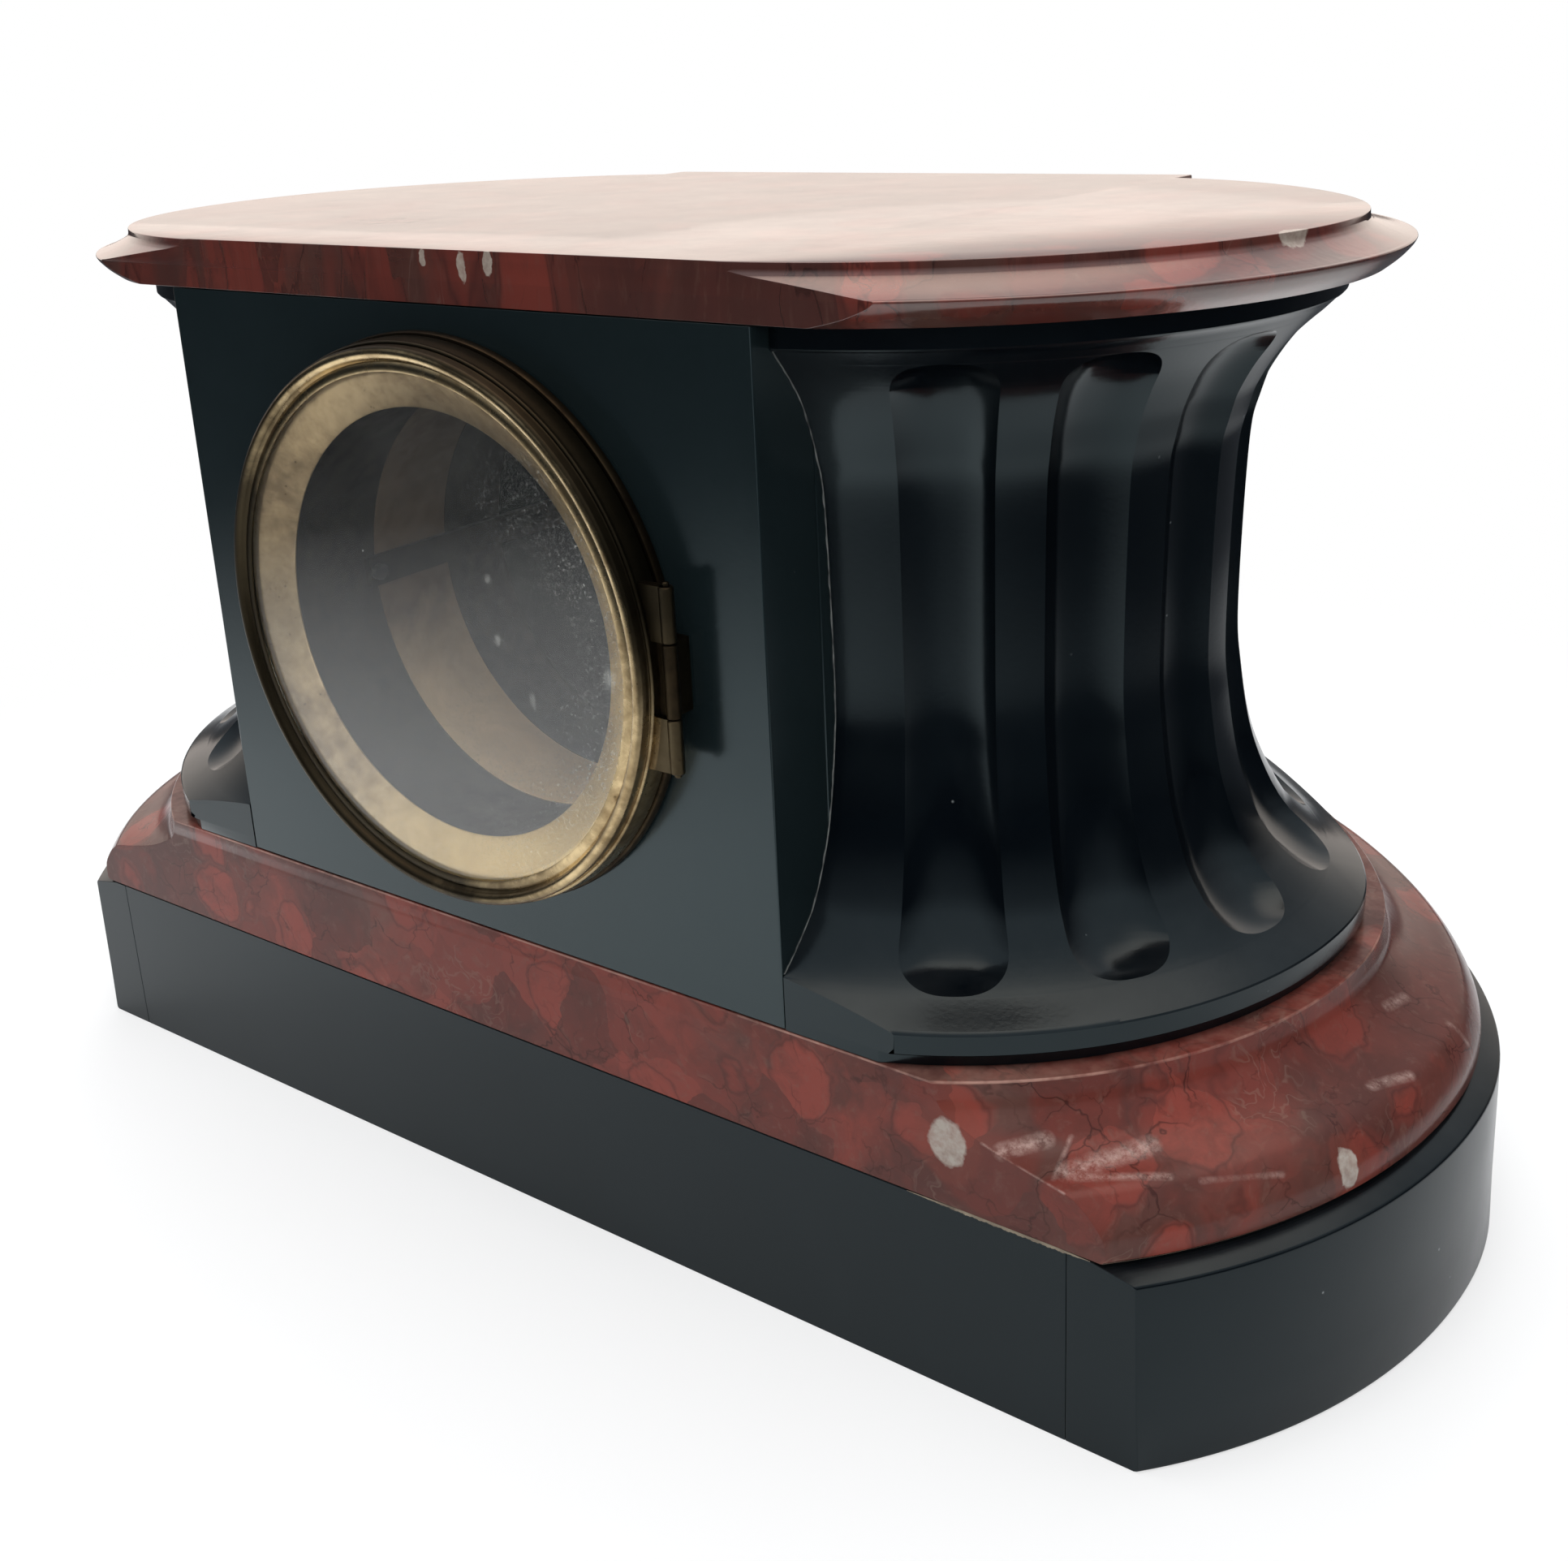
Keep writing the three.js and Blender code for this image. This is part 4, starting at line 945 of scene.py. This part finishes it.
def add_door(prefix, face, outward, hinge_side, seat):
    """A hinged glazed brass door: fixed ring, bezel, sight ring, glass."""

    def out(profile):
        return [(radius, face + outward * height) for radius, height in profile]

    door = prefix + "_door"
    hinge_y = face + outward * HINGE_OUT
    hinge_x = hinge_side * HINGE_X
    flange = [(57.6, JOINT), (70.4, JOINT), (70.7, 0.6), (70.7, 2.2), (70.4, 2.7), (70.0, 2.8)]
    ring = lathe(out(flange + seat))
    leaf(ring, (hinge_side * 69.6, hinge_x), (face + outward * 0.5, hinge_y), (-FIXED_KNUCKLE, FIXED_KNUCKLE))
    upright(ring, hinge_x, hinge_y, KNUCKLE, -FIXED_KNUCKLE, FIXED_KNUCKLE)
    finish_mesh(prefix + "_ring_brass", ring, LINING_BRASS, "case", (prefix + "_fixed_ring",), 0.0, 40.0)
    bead = arc((69.0, 8.6), 0.6, -10, 110, 8)
    crown = arc((67.25, 10.9), 1.6, 20, 165, 14)
    rim = [(69.9, 3.3), (69.9, 7.0), (69.6, 7.8)] + bead + [(68.6, 9.6)] + crown
    rim += [(65.2, 10.75), (64.6, 11.1), (63.4, 11.25), (62.8, 11.1), (62.8, 10.7), (64.5, 10.7), (64.5, 3.3)]
    bezel = lathe(out(rim))
    for low, high in ((-HINGE_HALF, -FIXED_KNUCKLE - JOINT), (FIXED_KNUCKLE + JOINT, HINGE_HALF)):
        leaf(bezel, (hinge_side * 65.6, hinge_x), (face + outward * 5.7, face + outward * 8.1), (low, high))
        upright(bezel, hinge_x, hinge_y, KNUCKLE, low, high)
    catch_x = (-hinge_side * 68, -hinge_side * 73.4)
    leaf(bezel, catch_x, (face + outward * 4.3, face + outward * 6.3), (-4.9, 4.9))
    finish_mesh(prefix + "_bezel_brass", bezel, BEZEL_BRASS, door, (prefix + "_bezel",), 0.0, 40.0)
    cone = [(64.2, 8.6), (64.2, 7.7), (62.0, 7.7), (54.3, 3.8), (53.6, 3.55)]
    cone += [(53.5, 3.9), (53.9, 4.4), (61.6, 8.4), (62.2, 8.6)]
    sight_ring = prefix + "_sight_ring"
    finish_mesh(prefix + "_sight_brass", lathe(out(cone)), SIGHT_BRASS, door, (sight_ring,), 0.0, 40.0)
    pane = [(0.0, 8.9), (64.2, 8.9), (64.2, 9.9), (63.4, 10.4), (0.0, 10.4)]
    finish_mesh(prefix + "_pane", lathe(out(pane), hollow=False), OLD_GLASS, door, (prefix + "_glass",))
    pin = bmesh.new()
    upright(pin, hinge_x, hinge_y, 0.8, -HINGE_HALF - 1.0, HINGE_HALF + 1.0, 16)
    finish_mesh(prefix + "_pin_brass", pin, BEZEL_BRASS, "case", (prefix + "_hinge_pin",))


def add_tube(name, start, end, material):
    """A tube that lines the rear opening, between two depths behind the back."""
    near = BACK - start
    far = BACK - end
    tube = [(TUBE_INNER, near), (TUBE_OUTER, near), (TUBE_OUTER, far), (TUBE_INNER, far)]
    finish_mesh(name, lathe(tube), material, "case")


def add_doors():
    add_door("rear", BACK, 1, -1, [(55.5, 2.8), (55.5, -24.0), (57.6, -24.0)])
    add_tube("rear_lining_tube", 24.0, 49.5, TUBE_BRASS)
    add_tube("rear_inner_tube", 49.6, 71.0, LINING_BRASS)
    shoulder = [(55.6, -2.05), (51.0, -2.05), (51.0, -9.45), (55.6, -9.45), (55.6, -19.7), (57.6, -19.7)]
    add_door("front", FRONT, -1, 1, [(55.6, 2.8)] + shoulder)


# Movement and dial


def stroke(made, start, end, width, place):
    """Adds one flat painted stroke to a bmesh; place turns its flat points into dial points."""
    (x0, y0), (x1, y1) = start, end
    long = math.hypot(x1 - x0, y1 - y0)
    side_x = (y0 - y1) / long / 2 * width
    side_y = (x1 - x0) / long / 2 * width
    flat = [(x0 + side_x, y0 + side_y), (x0 - side_x, y0 - side_y)]
    flat += [(x1 - side_x, y1 - side_y), (x1 + side_x, y1 + side_y)]
    back = [made.verts.new(place(point, 0.0)) for point in flat]
    front = [made.verts.new(place(point, INK_THICK)) for point in flat]
    made.faces.new(front)
    made.faces.new(list(reversed(back)))
    for i in range(4):
        after = (i + 1) % 4
        made.faces.new((back[i], back[after], front[after], front[i]))


def serif(centre, z, half):
    return ((centre - half, z), (centre + half, z), SERIF)


def letter_strokes(letter, x):
    """Strokes of one Roman letter whose left edge is at x, as (start, end, width)."""
    low = -NUMERAL_HIGH / 2
    high = NUMERAL_HIGH / 2
    wide = LETTER_WIDTH[letter]
    middle = x + wide / 2
    if letter == "I":
        return [((middle, low), (middle, high), STEM), serif(middle, low, 1.3), serif(middle, high, 1.3)]
    left = x + STROKE_INSET
    right = x + wide - STROKE_INSET
    thick_foot, thin_foot = (middle, middle) if letter == "V" else (right, left)
    strokes = [((left, high), (thick_foot, low), THICK_STROKE)]
    strokes.append(((right, high), (thin_foot, low), THIN_STROKE))
    for centre in (left, right):
        strokes.append(serif(centre, high, 1.2))
        if letter == "X":
            strokes.append(serif(centre, low, 1.2))
    return strokes


def dial_place(turn):
    """Turns flat points, y outward, into dial points at a clock angle seen from the front."""

    def place(point, height):
        x = point[0] * math.cos(turn) + point[1] * math.sin(turn)
        z = -point[0] * math.sin(turn) + point[1] * math.cos(turn)
        return Vector((x, DIAL_FACE - height, DIAL_Z + z)) * MM

    return place


def add_dial():
    paint_node("dial", ENAMEL)
    ink = bmesh.new()
    for hour, word in enumerate(NUMERALS, 1):
        x = -sum(LETTER_WIDTH[letter] for letter in word) / 2
        place = dial_place(math.radians(30 * hour))
        for letter in word:
            for start, end, width in letter_strokes(letter, x):
                lifted = [(point[0], point[1] + NUMERAL_RADIUS) for point in (start, end)]
                stroke(ink, lifted[0], lifted[1], width, place)
            x += LETTER_WIDTH[letter]
    for minute in range(60):
        width = 0.9 if minute % 5 == 0 else 0.35
        place = dial_place(math.radians(6 * minute))
        stroke(ink, (0.0, TRACK_INNER), (0.0, TRACK_OUTER), width, place)
        for radius in (TRACK_INNER, TRACK_OUTER):
            chord = radius * math.tan(math.radians(3))
            stroke(ink, (-chord, radius), (chord, radius), TRACK_LINE, place)
    finish_mesh("dial_numerals", ink, INK, "case")
    for side, name in ((1, "right"), (-1, "left")):
        bead = [(3.65, 0.1), (3.8, 0.45), (4.5, 0.45), (4.8, 0.05)]
        eyelet = [(radius, DIAL_FACE - proud) for radius, proud in bead]
        ring = lathe(eyelet, (side * WINDING_X, WINDING_Z), 48)
        finish_mesh("winding_eyelet_" + name, ring, MOVEMENT_BRASS, "case")


def add_movement():
    brass = ["front_plate", "back_plate", "suspension_cock", "minute_wheel", "hour_wheel"]
    brass += ["time_barrel", "strike_barrel", "second_wheel", "strike_second_wheel", "centre_wheel"]
    brass += ["third_wheel", "escape_wheel", "pin_wheel", "pendulum_bob", "rating_nut", "bell", "hand_nut"]
    brass += [f"pillar_{i}" for i in (1, 2, 3, 4)]
    steel = ["time_winding_arbor", "strike_winding_arbor", "pallets", "crutch", "suspension_spring"]
    steel += ["pendulum_rod", "hammer", "bell_stand", "cannon_pinion"]
    steel += ["strap_screw_left", "strap_screw_right"]
    for node in brass:
        paint_node(node, MOVEMENT_BRASS)
    for node in steel:
        paint_node(node, STEEL)
    for node in ("strap_left", "strap_right"):
        paint_node(node, LINING_BRASS)
    for node in ("hour_hand", "minute_hand"):
        paint_node(node, BLUED)


# Stage


def add_floor():
    """White paper on a dark floor; the camera sees it white throughout, with the clock's shadow."""
    made = bmesh.new()
    bmesh.ops.create_circle(made, cap_ends=True, radius=FLOOR_RADIUS, segments=64)
    mesh = bpy.data.meshes.new("floor")
    made.to_mesh(mesh)
    made.free()
    floor = bpy.data.objects.new("floor", mesh)
    bpy.context.scene.collection.objects.link(floor)
    p = Paint("floor")
    from_paper = p.vector("DISTANCE", p.place, PAPER_CENTRE)
    paper = p.mix(p.span(from_paper, 0.3, 0.74), PAPER_WHITE, FAR_FLOOR)
    seen = p.node("LightPath").outputs["Is Camera Ray"]
    tone = p.mix(seen, paper, PAPER_WHITE)
    matte = p.node("BsdfDiffuse", {"Color": tone})
    white = p.node("Emission", {"Color": p.colour(WHITE), "Strength": 1.0})
    away = p.eased(p.length(p.place), 0.25, 0.5)
    share = p.times(p.span(away, 0.0, 1.0, 0.6, 1.0), seen)
    paper_white = p.node("MixShader", {0: share, 1: matte.outputs[0], 2: white.outputs[0]})
    mesh.materials.append(p.finish(paper_white.outputs[0]))


def add_world():
    """White to the camera and through glass; polished faces see a backdrop, a ceiling and a dark room."""
    p = Paint("studio", "worlds", "Generated")
    path = p.node("LightPath")
    backdrop = p.eased(p.vector("DOT_PRODUCT", p.place, BACKDROP_SIDE), 0.3, 0.8)
    around = p.mix(backdrop, DARK_ROOM, BACKDROP_LIGHT)
    studio = p.mix(p.span(p.height(p.place), 0.2, 0.75), around, HIGH_WALLS)
    ceiling = p.eased(p.vector("DOT_PRODUCT", p.place, CEILING_SIDE), 0.78, 0.98)
    studio = p.mix(ceiling, studio, CEILING_LIGHT)
    glossy = p.mix(path.outputs["Is Glossy Ray"], SOFT_LIGHT, studio)
    direct = p.math("MAXIMUM", path.outputs["Is Camera Ray"], path.outputs["Is Transmission Ray"])
    colour = p.mix(direct, glossy, WHITE)
    sky = p.node("Background", {"Color": colour, "Strength": 1.0})
    bpy.context.scene.world = p.finish(sky.outputs[0], "OutputWorld")


def add_lamp(name, place, target, size, power):
    """A soft lamp that polished faces do not show."""
    lamp = bpy.data.lights.new(name, "AREA")
    lamp.shape = "RECTANGLE"
    lamp.size, lamp.size_y = size
    lamp.energy = power
    stand = bpy.data.objects.new(name, lamp)
    stand.location = place
    stand.visible_glossy = False
    stand.rotation_euler = (Vector(target) - Vector(place)).to_track_quat("-Z", "Y").to_euler()
    bpy.context.scene.collection.objects.link(stand)


def add_camera():
    data = bpy.data.cameras.new("photo_camera")
    data.sensor_width = 36.0
    data.lens = FOCAL_PIXELS / PHOTO_WIDTH * data.sensor_width
    data.shift_x = (PHOTO_WIDTH / 2 - OPTICAL_CENTRE[0]) / PHOTO_WIDTH
    data.shift_y = (OPTICAL_CENTRE[1] - PHOTO_HEIGHT / 2) / PHOTO_WIDTH
    data.clip_start = 0.01
    camera = bpy.data.objects.new("photo_camera", data)
    aim = CAMERA_AIM.to_track_quat("-Z", "Y").to_matrix()
    turn = aim @ Matrix.Rotation(CAMERA_ROLL, 3, "Z")
    camera.matrix_world = Matrix.Translation(CAMERA_PLACE) @ turn.to_4x4()
    bpy.context.scene.collection.objects.link(camera)
    bpy.context.scene.camera = camera


add_base()
add_plinth()
add_columns()
add_glue_lines()
add_panels()
add_top()
add_doors()
add_dial()
add_movement()
add_floor()
add_world()
add_lamp("ceiling", (0.1, 0.0, 1.5), (0.0, 0.0, 0.1), (1.6, 1.2), 26.0)
add_lamp("window", (0.9, -1.5, 1.5), (0.0, 0.0, 0.15), (2.0, 1.5), 18.0)
add_lamp("fill", (-1.4, 1.1, 0.8), (0.0, 0.0, 0.12), (0.9, 0.9), 9.0)
add_lamp("key", (-0.62, 0.6, 1.4), (-0.1, 0.0, 0.1), (0.4, 0.3), 2.4)
add_camera()
bpy.context.scene.view_settings.view_transform = "Standard"
